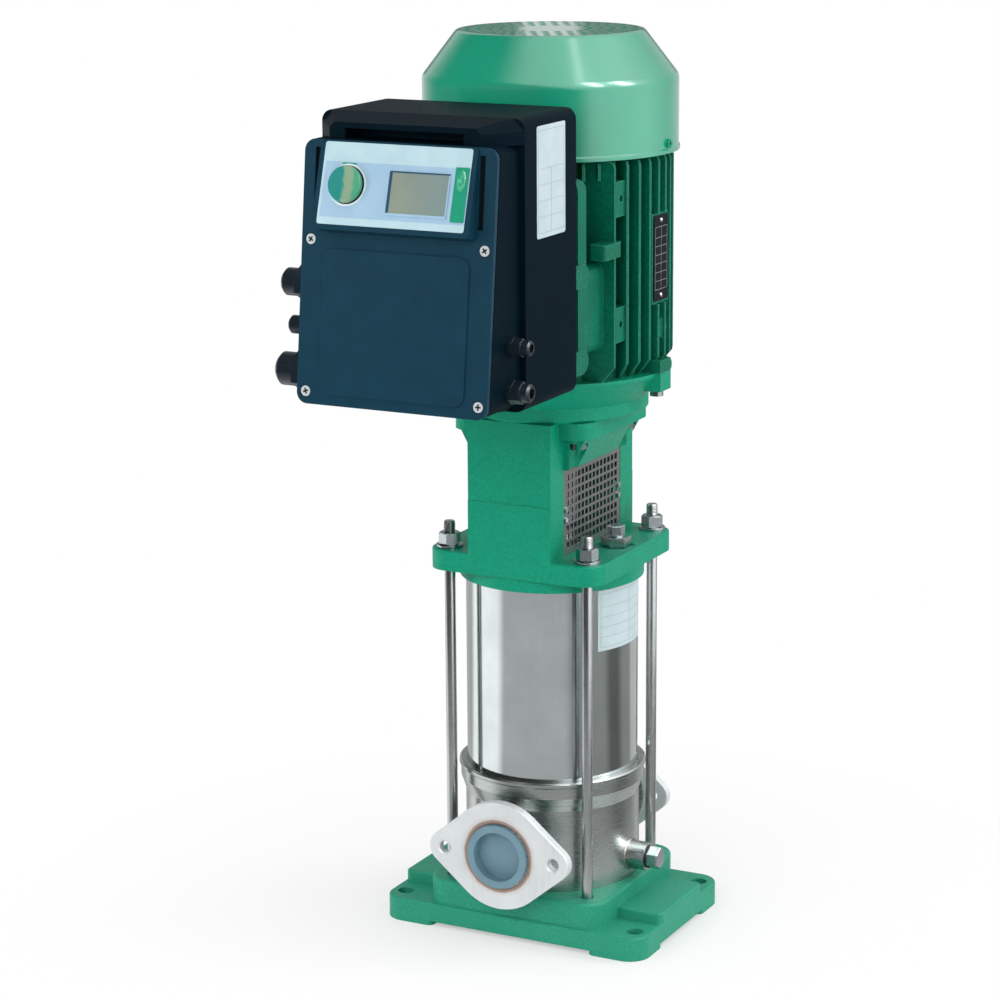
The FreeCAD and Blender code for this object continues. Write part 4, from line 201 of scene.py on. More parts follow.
class Finish:
    """One procedural material. Its coordinates are the object's own, in metres."""

    def __init__(self, name, colour, rough, metal=0.0, **more):
        self.material = bpy.data.materials.new(name)
        self.material.use_nodes = True
        self.tree = self.material.node_tree
        self.shader = self.tree.nodes["Principled BSDF"]
        self.place = self.tree.nodes.new("ShaderNodeTexCoord").outputs["Object"]
        self.shader.inputs["Metallic"].default_value = metal
        self.shader.inputs["Base Color"].default_value = (*colour, 1)
        self.shader.inputs["Roughness"].default_value = rough
        for key, value in more.items():
            self.shader.inputs[key.replace("_", " ")].default_value = value
        self.material.diffuse_color = (*colour, 1)
        self.normal = None

    def add(self, kind, **links):
        node = self.tree.nodes.new("ShaderNode" + kind)
        for key, value in links.items():
            socket = node.inputs[key]
            if isinstance(value, bpy.types.NodeSocket):
                self.tree.links.new(value, socket)
            else:
                socket.default_value = value
        return node

    def noise(self, scale, detail=3.0, rough=0.55, stretch=(1, 1, 1)):
        where = self.add("Mapping", Vector=self.place, Scale=stretch).outputs["Vector"]
        return self.add("TexNoise", Vector=where, Scale=scale, Detail=detail, Roughness=rough).outputs["Fac"]

    def cells(self, scale, smooth=0.4):
        node = self.tree.nodes.new("ShaderNodeTexVoronoi")
        node.feature = "SMOOTH_F1"
        self.tree.links.new(self.place, node.inputs["Vector"])
        node.inputs["Scale"].default_value = scale
        node.inputs["Smoothness"].default_value = smooth
        return node.outputs["Distance"]

    def span(self, value, low, high, to_low=0.0, to_high=1.0):
        node = self.add("MapRange", Value=value)
        node.inputs["From Min"].default_value = low
        node.inputs["From Max"].default_value = high
        node.inputs["To Min"].default_value = to_low
        node.inputs["To Max"].default_value = to_high
        return node.outputs["Result"]

    def maths(self, operation, first, second=0.0):
        node = self.tree.nodes.new("ShaderNodeMath")
        node.operation = operation
        for socket, value in zip(node.inputs, (first, second)):
            if isinstance(value, bpy.types.NodeSocket):
                self.tree.links.new(value, socket)
            else:
                socket.default_value = value
        return node.outputs["Value"]

    def blend(self, share, first, second):
        node = self.tree.nodes.new("ShaderNodeMix")
        node.data_type = "RGBA"
        sockets = (node.inputs["Factor"], node.inputs["A"], node.inputs["B"])
        for socket, value in zip(sockets, (share, first, second)):
            if isinstance(value, bpy.types.NodeSocket):
                self.tree.links.new(value, socket)
            elif isinstance(value, tuple):
                socket.default_value = (*value, 1)
            else:
                socket.default_value = value
        return node.outputs[2]

    def paint(self, socket):
        self.tree.links.new(socket, self.shader.inputs["Base Color"])

    def roughen(self, socket):
        self.tree.links.new(socket, self.shader.inputs["Roughness"])

    def round_off(self, radius):
        """Soft edges of that radius in millimetres."""
        node = self.tree.nodes.new("ShaderNodeBevel")
        node.samples = 4
        node.inputs["Radius"].default_value = radius * MM
        self.normal = node.outputs["Normal"]
        self.tree.links.new(self.normal, self.shader.inputs["Normal"])

    def bump(self, height, depth):
        """Relief of that depth in millimetres."""
        node = self.tree.nodes.new("ShaderNodeBump")
        node.inputs["Strength"].default_value = 1.0
        node.inputs["Distance"].default_value = depth * MM
        self.tree.links.new(height, node.inputs["Height"])
        if self.normal is not None:
            self.tree.links.new(self.normal, node.inputs["Normal"])
        self.normal = node.outputs["Normal"]
        self.tree.links.new(self.normal, self.shader.inputs["Normal"])

    def axis(self, letter):
        split = self.add("SeparateXYZ", Vector=self.place)
        return split.outputs[letter.upper()]

    def apart(self, first, second):
        """The distance from an axis, from the two coordinates across it."""
        squares = [self.maths("MULTIPLY", part, part) for part in (first, second)]
        return self.maths("SQRT", self.maths("ADD", *squares))

    def edge_wear_and_highlight(self, share, width=0.5):
        """How far the paler edge covers the base colour, partly rubbed paint and partly a painted highlight.
        """
        bevel = self.tree.nodes.new("ShaderNodeBevel")
        bevel.samples = 4
        bevel.inputs["Radius"].default_value = width * MM
        flat = self.tree.nodes.new("ShaderNodeNewGeometry").outputs["Normal"]
        dot = self.tree.nodes.new("ShaderNodeVectorMath")
        dot.operation = "DOT_PRODUCT"
        self.tree.links.new(bevel.outputs["Normal"], dot.inputs[0])
        self.tree.links.new(flat, dot.inputs[1])
        return self.span(dot.outputs["Value"], 0.96, 0.80, 0.0, share)


GREEN = (0.000, 0.298, 0.172)
GREEN_DEEP = (0.000, 0.268, 0.154)
# The paler edge green: partly rubbed paint, partly a painted highlight.
GREEN_PALE = (0.070, 0.380, 0.240)
BASE_GREEN = (0.030, 0.325, 0.205)
BASE_DEEP = (0.020, 0.290, 0.178)
# Painted shade: the castings' green darkened for the finned motor casting and its drive carrier.
MOTOR_GREEN = (0.0, 0.160, 0.092)
MOTOR_DEEP = (0.0, 0.128, 0.072)
MOTOR_LIGHT = (0.0, 0.172, 0.100)
MOTOR_SPECK = (0.0, 0.105, 0.060)
DRIVE_DARK = (0.0014, 0.0080, 0.0140)
DRIVE_BLUE = (0.0040, 0.0380, 0.0660)

# Where the tones of a material change, in metres from the axis or along it, and how wide each edge is.
SCREW_RISE = 0.6616
# The size of the painted shade for the cowl screws' sockets.
SOCKET_SHADE_RADIUS = 0.0017
SOCKET_SHADE_EDGE = 0.0001
# Where the flanges' backs begin, which are painted near-black as shade.
FLANGE_SHADE_START = 0.092
FLANGE_SHADE_EDGE = 0.0008
WARM_RING = (0.0350, 0.0305)
BURNT_RING = (0.0318, 0.0304)
FOIL_UPPER = (0.6683, 0.6687)
FOIL_LOWER = (0.6287, 0.6283)
FOIL_LEFT = (-0.0600, -0.0604)
# Where the knob's painted reflection changes tone.
REFLECTION_LEFT = (-0.0415, -0.0395)
REFLECTION_RIGHT = (-0.0335, -0.0310)
SCREEN_FADE = (0.006, 0.040)


def scaled(colour, share):
    return tuple(share * part for part in colour)


def powder_coat(name, colour, rough, gloss, edge, cloud, deep, light, speck, wear_and_highlight, spread):
    """A fine hammered skin over a slightly rolling surface, paler along its edges, partly rubbed and partly a
    painted highlight.
    """
    f = Finish(name, colour, rough, Specular_IOR_Level=gloss)
    f.round_off(edge)
    tone = f.blend(f.span(f.noise(*cloud), 0.35, 0.65), deep, light)
    specked = f.blend(f.span(f.noise(620, 2), 0.36, 0.64), speck, tone)
    # Paler edges: partly rubbed paint, partly a painted highlight.
    f.paint(f.blend(f.edge_wear_and_highlight(*wear_and_highlight), specked, GREEN_PALE))
    f.roughen(f.span(f.noise(700, 2), 0.35, 0.65, *spread))
    f.bump(f.noise(150, 2), 0.18)
    f.bump(f.cells(700), 0.10)
    return f.material


def cast_green():
    return powder_coat("cast_green", GREEN, 0.42, 0.2, 0.9, (38, 3), GREEN_DEEP, GREEN,
                       scaled(GREEN_DEEP, 0.84), (0.35, 0.7), (0.34, 0.50))


def base_green():
    """The same coat on the base, paler than the castings above it, with paler edges, partly rubbed and partly
    a painted highlight.
    """
    return powder_coat("base_green", BASE_GREEN, 0.46, 0.2, 1.1, (30, 4), BASE_DEEP, BASE_GREEN,
                       scaled(BASE_DEEP, 0.86), (0.45, 0.9), (0.38, 0.54))


def motor_green():
    """The finned casting, darker than the other castings as a painted shade among its fins, and paler along
    the fins' edges, partly rubbed and partly a painted highlight.
    """
    return powder_coat("motor_green", MOTOR_GREEN, 0.45, 0.15, 0.6, (46, 3), MOTOR_DEEP, MOTOR_LIGHT,
                       MOTOR_SPECK, (0.85, 1.0), (0.38, 0.54))


def cowl_green():
    """Smooth gloss paint on the pressed sheet cowl."""
    f = Finish("cowl_green", GREEN, 0.30, Specular_IOR_Level=0.5, Coat_Weight=1.0, Coat_Roughness=0.15)
    f.round_off(1.0)
    f.paint(f.blend(f.span(f.noise(22, 2), 0.3, 0.7), GREEN_DEEP, GREEN))
    f.bump(f.noise(420, 2), 0.03)
    return f.material


def cowl_screw_green():
    """Painted screw heads with a painted shade at their middle, where the socket is."""
    f = Finish("cowl_screw_green", GREEN, 0.40, Specular_IOR_Level=0.2)
    f.round_off(0.4)
    aside = f.maths("MINIMUM", f.maths("ABSOLUTE", f.axis("x")), f.maths("ABSOLUTE", f.axis("y")))
    radius = f.apart(aside, f.maths("SUBTRACT", f.axis("z"), SCREW_RISE))
    coat = f.blend(f.span(f.noise(620, 2), 0.36, 0.64), GREEN_DEEP, GREEN)
    # A near-black spot at each head's middle: painted shade for the socket.
    f.paint(f.blend(f.span(radius, SOCKET_SHADE_RADIUS + SOCKET_SHADE_EDGE, SOCKET_SHADE_RADIUS), coat, (0.004, 0.014, 0.010)))
    f.bump(f.noise(700, 2), 0.03)
    return f.material


def steel(name, tone, rough, streak, streak_axis, tint=(1.0, 1.0, 1.0)):
    """Stainless steel with fine drawn lines along or round the part."""
    bright = scaled(tint, tone)
    dull = scaled(bright, 0.86)
    f = Finish(name, bright, rough, 1.0)
    f.round_off(0.4)
    stretch = {"z": (1, 1, 0.02), "ring": (0.02, 0.02, 1), "none": (1, 1, 1)}[streak_axis]
    lines = f.noise(1500, 3, 0.6, stretch)
    cloud = f.noise(26, 3)
    f.paint(f.blend(f.span(cloud, 0.3, 0.7), dull, bright))
    f.roughen(f.span(lines, 0.3, 0.7, rough * 0.75, rough * 1.3))
    f.bump(lines, streak)
    return f.material


def flange_steel():
    """Machined flanges with a brown heat ring where the stub is welded in, and their backs painted dark as
    shade.
    """
    f = Finish("flange_steel", (0.76, 0.78, 0.79), 0.38, 0.30)
    f.round_off(0.5)
    radius = f.apart(f.axis("x"), f.maths("SUBTRACT", f.axis("z"), PORT_HEIGHT * MM))
    wobble = f.maths("ADD", radius, f.maths("MULTIPLY", f.maths("SUBTRACT", f.noise(90, 3), 0.5), 0.0022))
    near = f.span(wobble, *WARM_RING)
    burnt = f.span(wobble, *BURNT_RING)
    cloud = f.blend(f.span(f.noise(34, 4), 0.3, 0.7), (0.60, 0.64, 0.65), (0.76, 0.79, 0.80))
    drawn = f.span(f.noise(900, 2, 0.5, (1, 1, 0.03)), 0.35, 0.65)
    lines = f.blend(drawn, cloud, (0.70, 0.73, 0.74))
    warm = f.blend(f.maths("MULTIPLY", near, 0.45), lines, (0.55, 0.42, 0.34))
    face = f.blend(f.maths("MULTIPLY", burnt, 0.80), warm, (0.26, 0.150, 0.105))
    # The backs, nearer the pump, are painted near-black: painted shade.
    reach = f.maths("ABSOLUTE", f.axis("y"))
    f.paint(f.blend(f.span(reach, FLANGE_SHADE_START + FLANGE_SHADE_EDGE, FLANGE_SHADE_START), face, (0.060, 0.075, 0.078)))
    f.roughen(f.span(f.noise(240, 4), 0.3, 0.7, 0.32, 0.48))
    f.bump(f.noise(420, 4), 0.03)
    return f.material


def bright_zinc():
    """Plated screw heads, paler and softer than the rods."""
    f = Finish("bright_zinc", (0.66, 0.70, 0.71), 0.34, 0.35)
    f.round_off(0.3)
    f.paint(f.blend(f.span(f.noise(300, 3), 0.3, 0.7), (0.56, 0.60, 0.62), (0.72, 0.76, 0.77)))
    f.bump(f.noise(1600, 2), 0.004)
    return f.material


def weld_steel():
    """Weld beads and the heat tint on them."""
    f = Finish("weld_steel", (0.42, 0.40, 0.37), 0.36, 0.9)
    f.paint(f.blend(f.span(f.noise(160, 3), 0.35, 0.65), (0.22, 0.16, 0.12), (0.50, 0.48, 0.45)))
    f.bump(f.noise(700, 2), 0.05)
    return f.material


def plastic(name, colour, rough, grain=0.02, **more):
    """Moulded plastic with a fine spark-eroded grain."""
    f = Finish(name, colour, rough, **more)
    f.round_off(0.5)
    f.paint(f.blend(f.span(f.noise(45, 3), 0.3, 0.7), scaled(colour, 0.85), colour))
    f.roughen(f.span(f.noise(1200, 2), 0.35, 0.65, rough * 0.85, rough * 1.15))
    f.bump(f.noise(1500, 2), grain)
    return f.material


def nameplate_black():
    """Black anodised plate."""
    f = Finish("nameplate_black", (0.006, 0.006, 0.009), 0.45, Specular_IOR_Level=0.08)
    f.round_off(0.2)
    f.roughen(f.span(f.noise(300, 3), 0.3, 0.7, 0.40, 0.55))
    return f.material


def foil():
    """Printed front foil with lighter bands at its top, bottom and left edges."""
    f = Finish("foil", (0.33, 0.48, 0.63), 0.36, Specular_IOR_Level=0.3)
    height = f.axis("z")
    upper = f.span(height, *FOIL_UPPER)
    lower = f.span(height, *FOIL_LOWER)
    left = f.span(f.axis("x"), *FOIL_LEFT)
    band = f.maths("MAXIMUM", f.maths("MAXIMUM", upper, lower), left)
    grain = f.span(f.noise(60, 3), 0.3, 0.7)
    middle = f.blend(grain, (0.27, 0.42, 0.56), (0.31, 0.46, 0.60))
    f.paint(f.blend(band, middle, f.blend(grain, (0.37, 0.53, 0.59), (0.42, 0.58, 0.63))))
    f.bump(f.noise(2500, 1), 0.01)
    return f.material


def screen_glass():
    """A grey-green liquid crystal behind a clear window."""
    f = Finish("screen_glass", (0.27, 0.31, 0.28), 0.22, Coat_Weight=0.6, Coat_Roughness=0.05)
    warm = f.blend(f.span(f.noise(24, 2), 0.3, 0.7), (0.20, 0.25, 0.21), (0.26, 0.29, 0.22))
    f.paint(f.blend(f.span(f.axis("x"), *SCREEN_FADE), warm, (0.18, 0.25, 0.24)))
    return f.material


def label_white():
    """Bare paper-white label foil."""
    f = Finish("label_white", (0.56, 0.68, 0.71), 0.50, Specular_IOR_Level=0.2)
    f.paint(f.blend(f.span(f.noise(60, 2), 0.3, 0.7), (0.44, 0.54, 0.57), (0.49, 0.59, 0.62)))
    f.bump(f.noise(1500, 2), 0.008)
    return f.material


def ceramic():
    f = Finish("seal_ceramic", (0.30, 0.29, 0.28), 0.25)
    f.bump(f.noise(900, 2), 0.01)
    return f.material


def copper():
    f = Finish("winding_copper", (0.52, 0.20, 0.08), 0.32, 0.8)
    f.bump(f.noise(900, 2, 0.5, (1, 1, 6)), 0.3)
    return f.material


def rubber():
    f = Finish("seal_rubber", (0.012, 0.012, 0.013), 0.6)
    f.bump(f.noise(1200, 2), 0.02)
    return f.material


def board():
    f = Finish("board_green", (0.01, 0.10, 0.04), 0.35)
    f.bump(f.cells(400), 0.05)
    return f.material


def knob_green():
    """A green selector knob with a painted reflection across it: teal to the left, a pale band across its
    middle and green to the right.
    """
    f = Finish("knob_green", (0.004, 0.22, 0.17), 0.35, Specular_IOR_Level=0.4)
    f.round_off(0.5)
    along = f.maths("ADD", f.axis("x"), f.maths("MULTIPLY", f.maths("SUBTRACT", f.noise(220, 3), 0.5), 0.004))
    # The teal left, the pale middle band and the green right are a painted reflection.
    painted_reflection = f.blend(f.span(along, *REFLECTION_RIGHT), (0.20, 0.31, 0.20), (0.05, 0.30, 0.17))
    f.paint(f.blend(f.span(along, *REFLECTION_LEFT), (0.004, 0.22, 0.19), painted_reflection))
    f.bump(f.noise(1400, 2), 0.02)
    return f.material


def print_ink(name, colour):
    """A printed or moulded patch of one tone, a little uneven."""
    f = Finish(name, colour, 0.38, Specular_IOR_Level=0.3)
    f.paint(f.blend(f.span(f.noise(90, 2), 0.3, 0.7), colour, scaled(colour, 1.12)))
    f.bump(f.noise(1600, 2), 0.01)
    return f.material


def lens_clear():
    """A clear green-tinted lens over the sensor."""
    f = Finish("lens_clear", (0.05, 0.34, 0.20), 0.08, Coat_Weight=1.0, Coat_Roughness=0.04)
    f.paint(f.blend(f.span(f.noise(300, 2), 0.4, 0.6), (0.03, 0.30, 0.17), (0.10, 0.42, 0.27)))
    return f.material


FINISHES = {
    "cast_green": cast_green(),
    "cowl_green": cowl_green(),
    "cowl_screw_green": cowl_screw_green(),
    "motor_green": motor_green(),
    "base_green": base_green(),
    "housing_steel": steel("housing_steel", 0.50, 0.27, 0.0005, "ring", (0.93, 1.0, 0.98)),
    "sleeve_steel": steel("sleeve_steel", 0.68, 0.12, 0.0016, "z", (0.92, 1.0, 0.99)),
    "flange_steel": flange_steel(),
    "inner_steel": steel("inner_steel", 0.50, 0.3, 0.003, "none"),
    "zinc_steel": steel("zinc_steel", 0.50, 0.22, 0.0015, "none", (0.90, 1.0, 1.04)),
    "rod_steel": steel("rod_steel", 0.52, 0.27, 0.0008, "z", (0.96, 1.0, 1.01)),
    "bright_zinc": bright_zinc(),
    "coupling_steel": steel("coupling_steel", 0.42, 0.34, 0.003, "none"),
    "guard_steel": steel("guard_steel", 0.26, 0.42, 0.001, "none"),
    "weld_steel": weld_steel(),
    "cap_plastic": plastic("cap_plastic", (0.150, 0.270, 0.335), 0.42),
    "seal_rubber": rubber(),
    "seal_ceramic": ceramic(),
    "winding_copper": copper(),
    "fan_plastic": plastic("fan_plastic", (0.02, 0.02, 0.022), 0.5),
    "plate_black": nameplate_black(),
    "drive_plastic": plastic("drive_plastic", DRIVE_DARK, 0.45, Specular_IOR_Level=0.02),
    "cover_plastic": plastic("cover_plastic", DRIVE_BLUE, 0.38, Specular_IOR_Level=0.15),
    "gland_plastic": plastic("gland_plastic", (0.006, 0.013, 0.022), 0.32, 0.01),
    "foil": foil(),
    "screen_glass": screen_glass(),
    "knob_green": knob_green(),
    "spindle_plastic": plastic("spindle_plastic", (0.3, 0.3, 0.3), 0.4),
    "board_green": board(),
    "label_white": label_white(),
    "ink_green": print_ink("ink_green", (0.0, 0.25, 0.14)),
    "ink_pale": print_ink("ink_pale", (0.60, 0.70, 0.72)),
    "ink_blue": print_ink("ink_blue", (0.010, 0.060, 0.120)),
    "ink_black": print_ink("ink_black", (0.004, 0.005, 0.006)),
    "ink_grey": print_ink("ink_grey", (0.22, 0.27, 0.29)),
    "lens_clear": lens_clear(),
}

# Nodes whose look is not the one that their slot names.
NODE_FINISH = {
    "base_plate": "base_green",
    "front_cover": "cover_plastic",
    "display_frame": "cover_plastic",
    "tie_rods": "rod_steel",
    "nameplate": "plate_black",
    "cowl_screws": "cowl_screw_green",
    "cover_screws": "bright_zinc",
    # The motor casting and its drive carrier take the darker green, a painted shade among the fins.
    "motor_frame": "motor_green",
    "drive_carrier": "motor_green",
}

for part in frame["record"]["subparts"]:
    name = part["node"]
    mesh = nodes[name].data
    mesh.materials.clear()
    mesh.materials.append(FINISHES[NODE_FINISH.get(name, part["material_slot"])])


# Camera, floor and lights

CAMERA_PLACE = (1.08986, -2.19677, 0.94613)
CAMERA_ROUND = 27.393
CAMERA_DOWN = 13.437
CAMERA_ROLL = -0.410
CAMERA_LENS = 109.13
CAMERA_SENSOR = 36.0
CAMERA_CLIP = (0.1, 50)


def camera():
    """The photograph's own camera, without its vertical shift."""
    data = bpy.data.cameras.new("camera")
    data.lens = CAMERA_LENS
    data.sensor_width = CAMERA_SENSOR
    data.clip_start, data.clip_end = CAMERA_CLIP
    eye = bpy.data.objects.new("camera", data)
    bpy.context.scene.collection.objects.link(eye)
    round_turn = math.radians(CAMERA_ROUND)
    down = math.radians(CAMERA_DOWN)
    roll = math.radians(CAMERA_ROLL)
    flat = math.cos(down)
    back = Vector((math.sin(round_turn) * flat, -math.cos(round_turn) * flat, math.sin(down)))
    level = Vector((math.cos(round_turn), math.sin(round_turn), 0))
    up = back.cross(level)
    right = math.cos(roll) * level + math.sin(roll) * up
    upward = -math.sin(roll) * level + math.cos(roll) * up
    turned = Matrix((right, upward, back)).transposed().to_4x4()
    eye.matrix_world = Matrix.Translation(CAMERA_PLACE) @ turned
    bpy.context.scene.camera = eye


def boards_round(f, boards):
    """The shade of plain grey boards side by side round the object, each (azimuth where it ends, shade)."""
    front = f.maths("MULTIPLY", f.axis("y"), -1.0)
    turn = f.maths("ARCTAN2", f.axis("x"), front)
    total = boards[0][1]
    for (edge, shade), (_, following) in zip(boards, boards[1:]):
        low, high = math.radians(edge - BOARD_EDGE), math.radians(edge + BOARD_EDGE)
        total = f.maths("ADD", f.span(turn, low, high, 0.0, following - shade), total)
    return total


# The steel mirrors the near boards, the castings and the cowl the far ones.
# An azimuth in degrees is 0 in front, positive towards the right and negative towards the left.
BOARD_EDGE = 5
NEAR_BOARDS = ((-102, 0.50), (-44, 1.35), (48, 0.56), (102, 0.33), (126, 0.14), (150, 0.32), (180, 0.62))
FAR_BOARDS = ((-133, 0.50), (-58, 1.90), (52, 0.03), (136, 1.90), (180, 0.60))
# Distances on the floor from the object's middle: where its shadow fades to white to the eye, where the
# mirrored boards begin, where the near boards end, and the ring in which the far boards are dim.
FLOOR_RADIUS = 4
SHADOW = (0.12, 0.48)
SHADOW_LEAST = 0.45
MIRROR_START = (0.14, 0.30)
NEAR_END = (1.30, 1.50)
DIM_START = (1.85, 2.05)
DIM_END = (2.80, 2.65)
DIM_LEFT = 0.08


def floor():
    """A pale floor that keeps the shadow near the object and turns white further out to the eye.

    Reflections see plain grey boards on it instead."""
    bpy.ops.mesh.primitive_circle_add(vertices=96, radius=FLOOR_RADIUS, fill_type="NGON", location=(0, 0, 0))
    ground = bpy.context.object
    ground.name = "floor"
    f = Finish("floor", (0.86, 0.86, 0.86), 0.9, Specular_IOR_Level=0.1)
    tree = f.tree
    path = tree.nodes.new("ShaderNodeLightPath").outputs
    distance = f.apart(f.axis("x"), f.axis("y"))
    seen = f.maths("MAXIMUM", path["Is Camera Ray"], path["Is Transmission Ray"])
    to_eye = f.maths("MULTIPLY", f.span(distance, *SHADOW, SHADOW_LEAST, 1.0), seen)
    mirrored = f.maths("MULTIPLY", f.span(distance, *MIRROR_START), path["Is Glossy Ray"])
    near, far = boards_round(f, NEAR_BOARDS), boards_round(f, FAR_BOARDS)
    behind_motor = f.maths("MULTIPLY", f.span(distance, *DIM_START), f.span(distance, *DIM_END))
    dimmed = f.maths("MULTIPLY", far, f.span(behind_motor, 0.0, 1.0, 1.0, DIM_LEFT))
    further = f.span(distance, *NEAR_END)
    nearer = f.span(further, 0.0, 1.0, 1.0, 0.0)
    room = f.maths("ADD", f.maths("MULTIPLY", near, nearer), f.maths("MULTIPLY", dimmed, further))
    pale = tree.nodes.new("ShaderNodeEmission")
    tree.links.new(room, pale.inputs["Strength"])
    white = tree.nodes.new("ShaderNodeEmission")
    in_mirrors = tree.nodes.new("ShaderNodeMixShader")
    tree.links.new(mirrored, in_mirrors.inputs[0])
    tree.links.new(f.shader.outputs[0], in_mirrors.inputs[1])
    tree.links.new(pale.outputs[0], in_mirrors.inputs[2])
    mixed = tree.nodes.new("ShaderNodeMixShader")
    tree.links.new(to_eye, mixed.inputs[0])
    tree.links.new(in_mirrors.outputs[0], mixed.inputs[1])
    tree.links.new(white.outputs[0], mixed.inputs[2])
    tree.links.new(mixed.outputs[0], tree.nodes["Material Output"].inputs["Surface"])
    ground.data.materials.append(f.material)


SKY = 0.80
ROOM_DARK = 0.04
ROOM_BACK = 0.75
ROOM_PALE = 2.0
PALE_SIDE = (0.54, 0.57, 0.62)
BACK_SIDE = (-0.50, 0.87, 0.0)


def world():
    """A plain grey sky, white to the eye. Reflections see a dark room, pale at the upper right and behind."""
    scene_world = bpy.data.worlds.new("world")
    bpy.context.scene.world = scene_world
    scene_world.use_nodes = True
    tree = scene_world.node_tree
    path = tree.nodes.new("ShaderNodeLightPath").outputs
    where = tree.nodes.new("ShaderNodeTexCoord").outputs["Generated"]

    def toward(direction, low, high, to_low=0.0, to_high=1.0):
        dot = tree.nodes.new("ShaderNodeVectorMath")
        dot.operation = "DOT_PRODUCT"
        tree.links.new(where, dot.inputs[0])
        dot.inputs[1].default_value = direction
        ramp = tree.nodes.new("ShaderNodeMapRange")
        for name, value in (("From Min", low), ("From Max", high), ("To Min", to_low), ("To Max", to_high)):
            ramp.inputs[name].default_value = value
        tree.links.new(dot.outputs["Value"], ramp.inputs["Value"])
        return ramp.outputs["Result"]

    def maths(operation, first, second):
        node = tree.nodes.new("ShaderNodeMath")
        node.operation = operation
        tree.links.new(first, node.inputs[0])
        tree.links.new(second, node.inputs[1])
        return node.outputs["Value"]

    def chosen(share, first, second):
        node = tree.nodes.new("ShaderNodeMix")
        node.data_type = "FLOAT"
        sockets = (node.inputs["Factor"], node.inputs["A"], node.inputs["B"])
        for socket, value in zip(sockets, (share, first, second)):
            if isinstance(value, bpy.types.NodeSocket):
                tree.links.new(value, socket)
            else:
                socket.default_value = value
        return node.outputs["Result"]

    above = toward(PALE_SIDE, 0.0, 0.16, 0.0, ROOM_PALE)
    boards = maths("MULTIPLY", above, toward((1, 0, 0), -0.45, -0.10))
    boards = maths("MULTIPLY", boards, toward((0, 1, 0), 0.45, 0.90, 1.0, 0.30))
    back = toward(BACK_SIDE, 0.62, 0.97, ROOM_DARK, ROOM_BACK)
    light = chosen(path["Is Glossy Ray"], SKY, maths("MAXIMUM", boards, back))
    seen = maths("MAXIMUM", path["Is Camera Ray"], path["Is Transmission Ray"])
    background = tree.nodes["Background"]
    background.inputs["Color"].default_value = (1, 1, 1, 1)
    tree.links.new(chosen(seen, light, 1.0), background.inputs["Strength"])


def soft_box(name, place, width, height, watts, target=(0, 0, 0.4)):
    """A lamp that reflections don't show, because the room is there for them."""
    data = bpy.data.lights.new(name, "AREA")
    data.shape = "RECTANGLE"
    data.size = width
    data.size_y = height
    data.energy = watts
    lamp = bpy.data.objects.new(name, data)
    bpy.context.scene.collection.objects.link(lamp)
    away = Vector(place) - Vector(target)
    lamp.matrix_world = Matrix.Translation(place) @ away.to_track_quat("Z", "Y").to_matrix().to_4x4()
    lamp.visible_glossy = False


LIT = 12.0
COWL_TOP = (0, 0, 0.749)


def card(name, azimuth, elevation, width, height, shade, centre=(0, 0, 0.7), reach=2.2):
    """A lit or dark board that only reflections see, in a direction from the centre."""
    bpy.ops.mesh.primitive_plane_add(size=1, location=(0, 0, 0))
    panel = bpy.context.object
    panel.name = name
    turn, rise = math.radians(azimuth), math.radians(elevation)
    away = Vector((math.sin(turn) * math.cos(rise), -math.cos(turn) * math.cos(rise), math.sin(rise)))
    turned = away.to_track_quat("Z", "Y").to_matrix().to_4x4()
    place = Matrix.Translation(Vector(centre) + away * reach)
    panel.matrix_world = place @ turned @ Matrix.Diagonal((width, height, 1, 1))
    material = bpy.data.materials.new(name)
    material.use_nodes = True
    tree = material.node_tree
    glow = tree.nodes.new("ShaderNodeEmission")
    glow.inputs["Strength"].default_value = shade
    tree.links.new(glow.outputs[0], tree.nodes["Material Output"].inputs["Surface"])
    panel.data.materials.append(material)
    panel.visible_camera = False
    panel.visible_diffuse = False
    panel.visible_shadow = False
    panel.visible_transmission = False


camera()
floor()
world()
soft_box("box_right", (1.6, 0.9, 1.45), 1.0, 1.4, 15, (0, 0, 0.45))
soft_box("box_left", (-1.55, -0.25, 0.30), 0.35, 1.6, 4, (0, 0, 0.25))
soft_box("box_front", (0.0, -1.9, 1.2), 1.4, 1.0, 12, (0, 0, 0.4))
soft_box("box_side", (1.8, -0.3, 0.4), 0.5, 1.2, 7, (0, 0, 0.3))
soft_box("box_cover", (-0.55, -0.80, 0.72), 0.3, 0.3, 1.6, (0, -0.28, 0.58))
card("card_streak", 71, 65, 0.20, 0.36, 0.50 * LIT)
card("card_shoulder", 70, 37, 0.34, 1.50, 1.6 * LIT)
card("card_oval", 99, 30, 0.46, 1.30, 1.6 * LIT)
card("card_grille", -153.6, 5.3, 0.085, 0.18, 0.9, COWL_TOP, 2.0)
card("flag_top", -152.6, 6.0, 1.60, 0.50, 0.16, COWL_TOP)

bpy.context.scene.view_settings.view_transform = "Standard"


# Rods and nuts

ROD_HALF = 62.9
ROD_FOOT = 22.0
PLATE_TOP = 328.0
WASHER = 2.4
NUT_HEIGHT = 10.0
NUT_ACROSS = 16.0
NUT_BORE = 4.9
ROD_TOP = 349.9
THREAD_ROOT = 4.25
THREAD_CREST = 4.85
THREAD_PITCH = 1.25
SHANK = 4.5
HOUSING_SEAT = 320.0


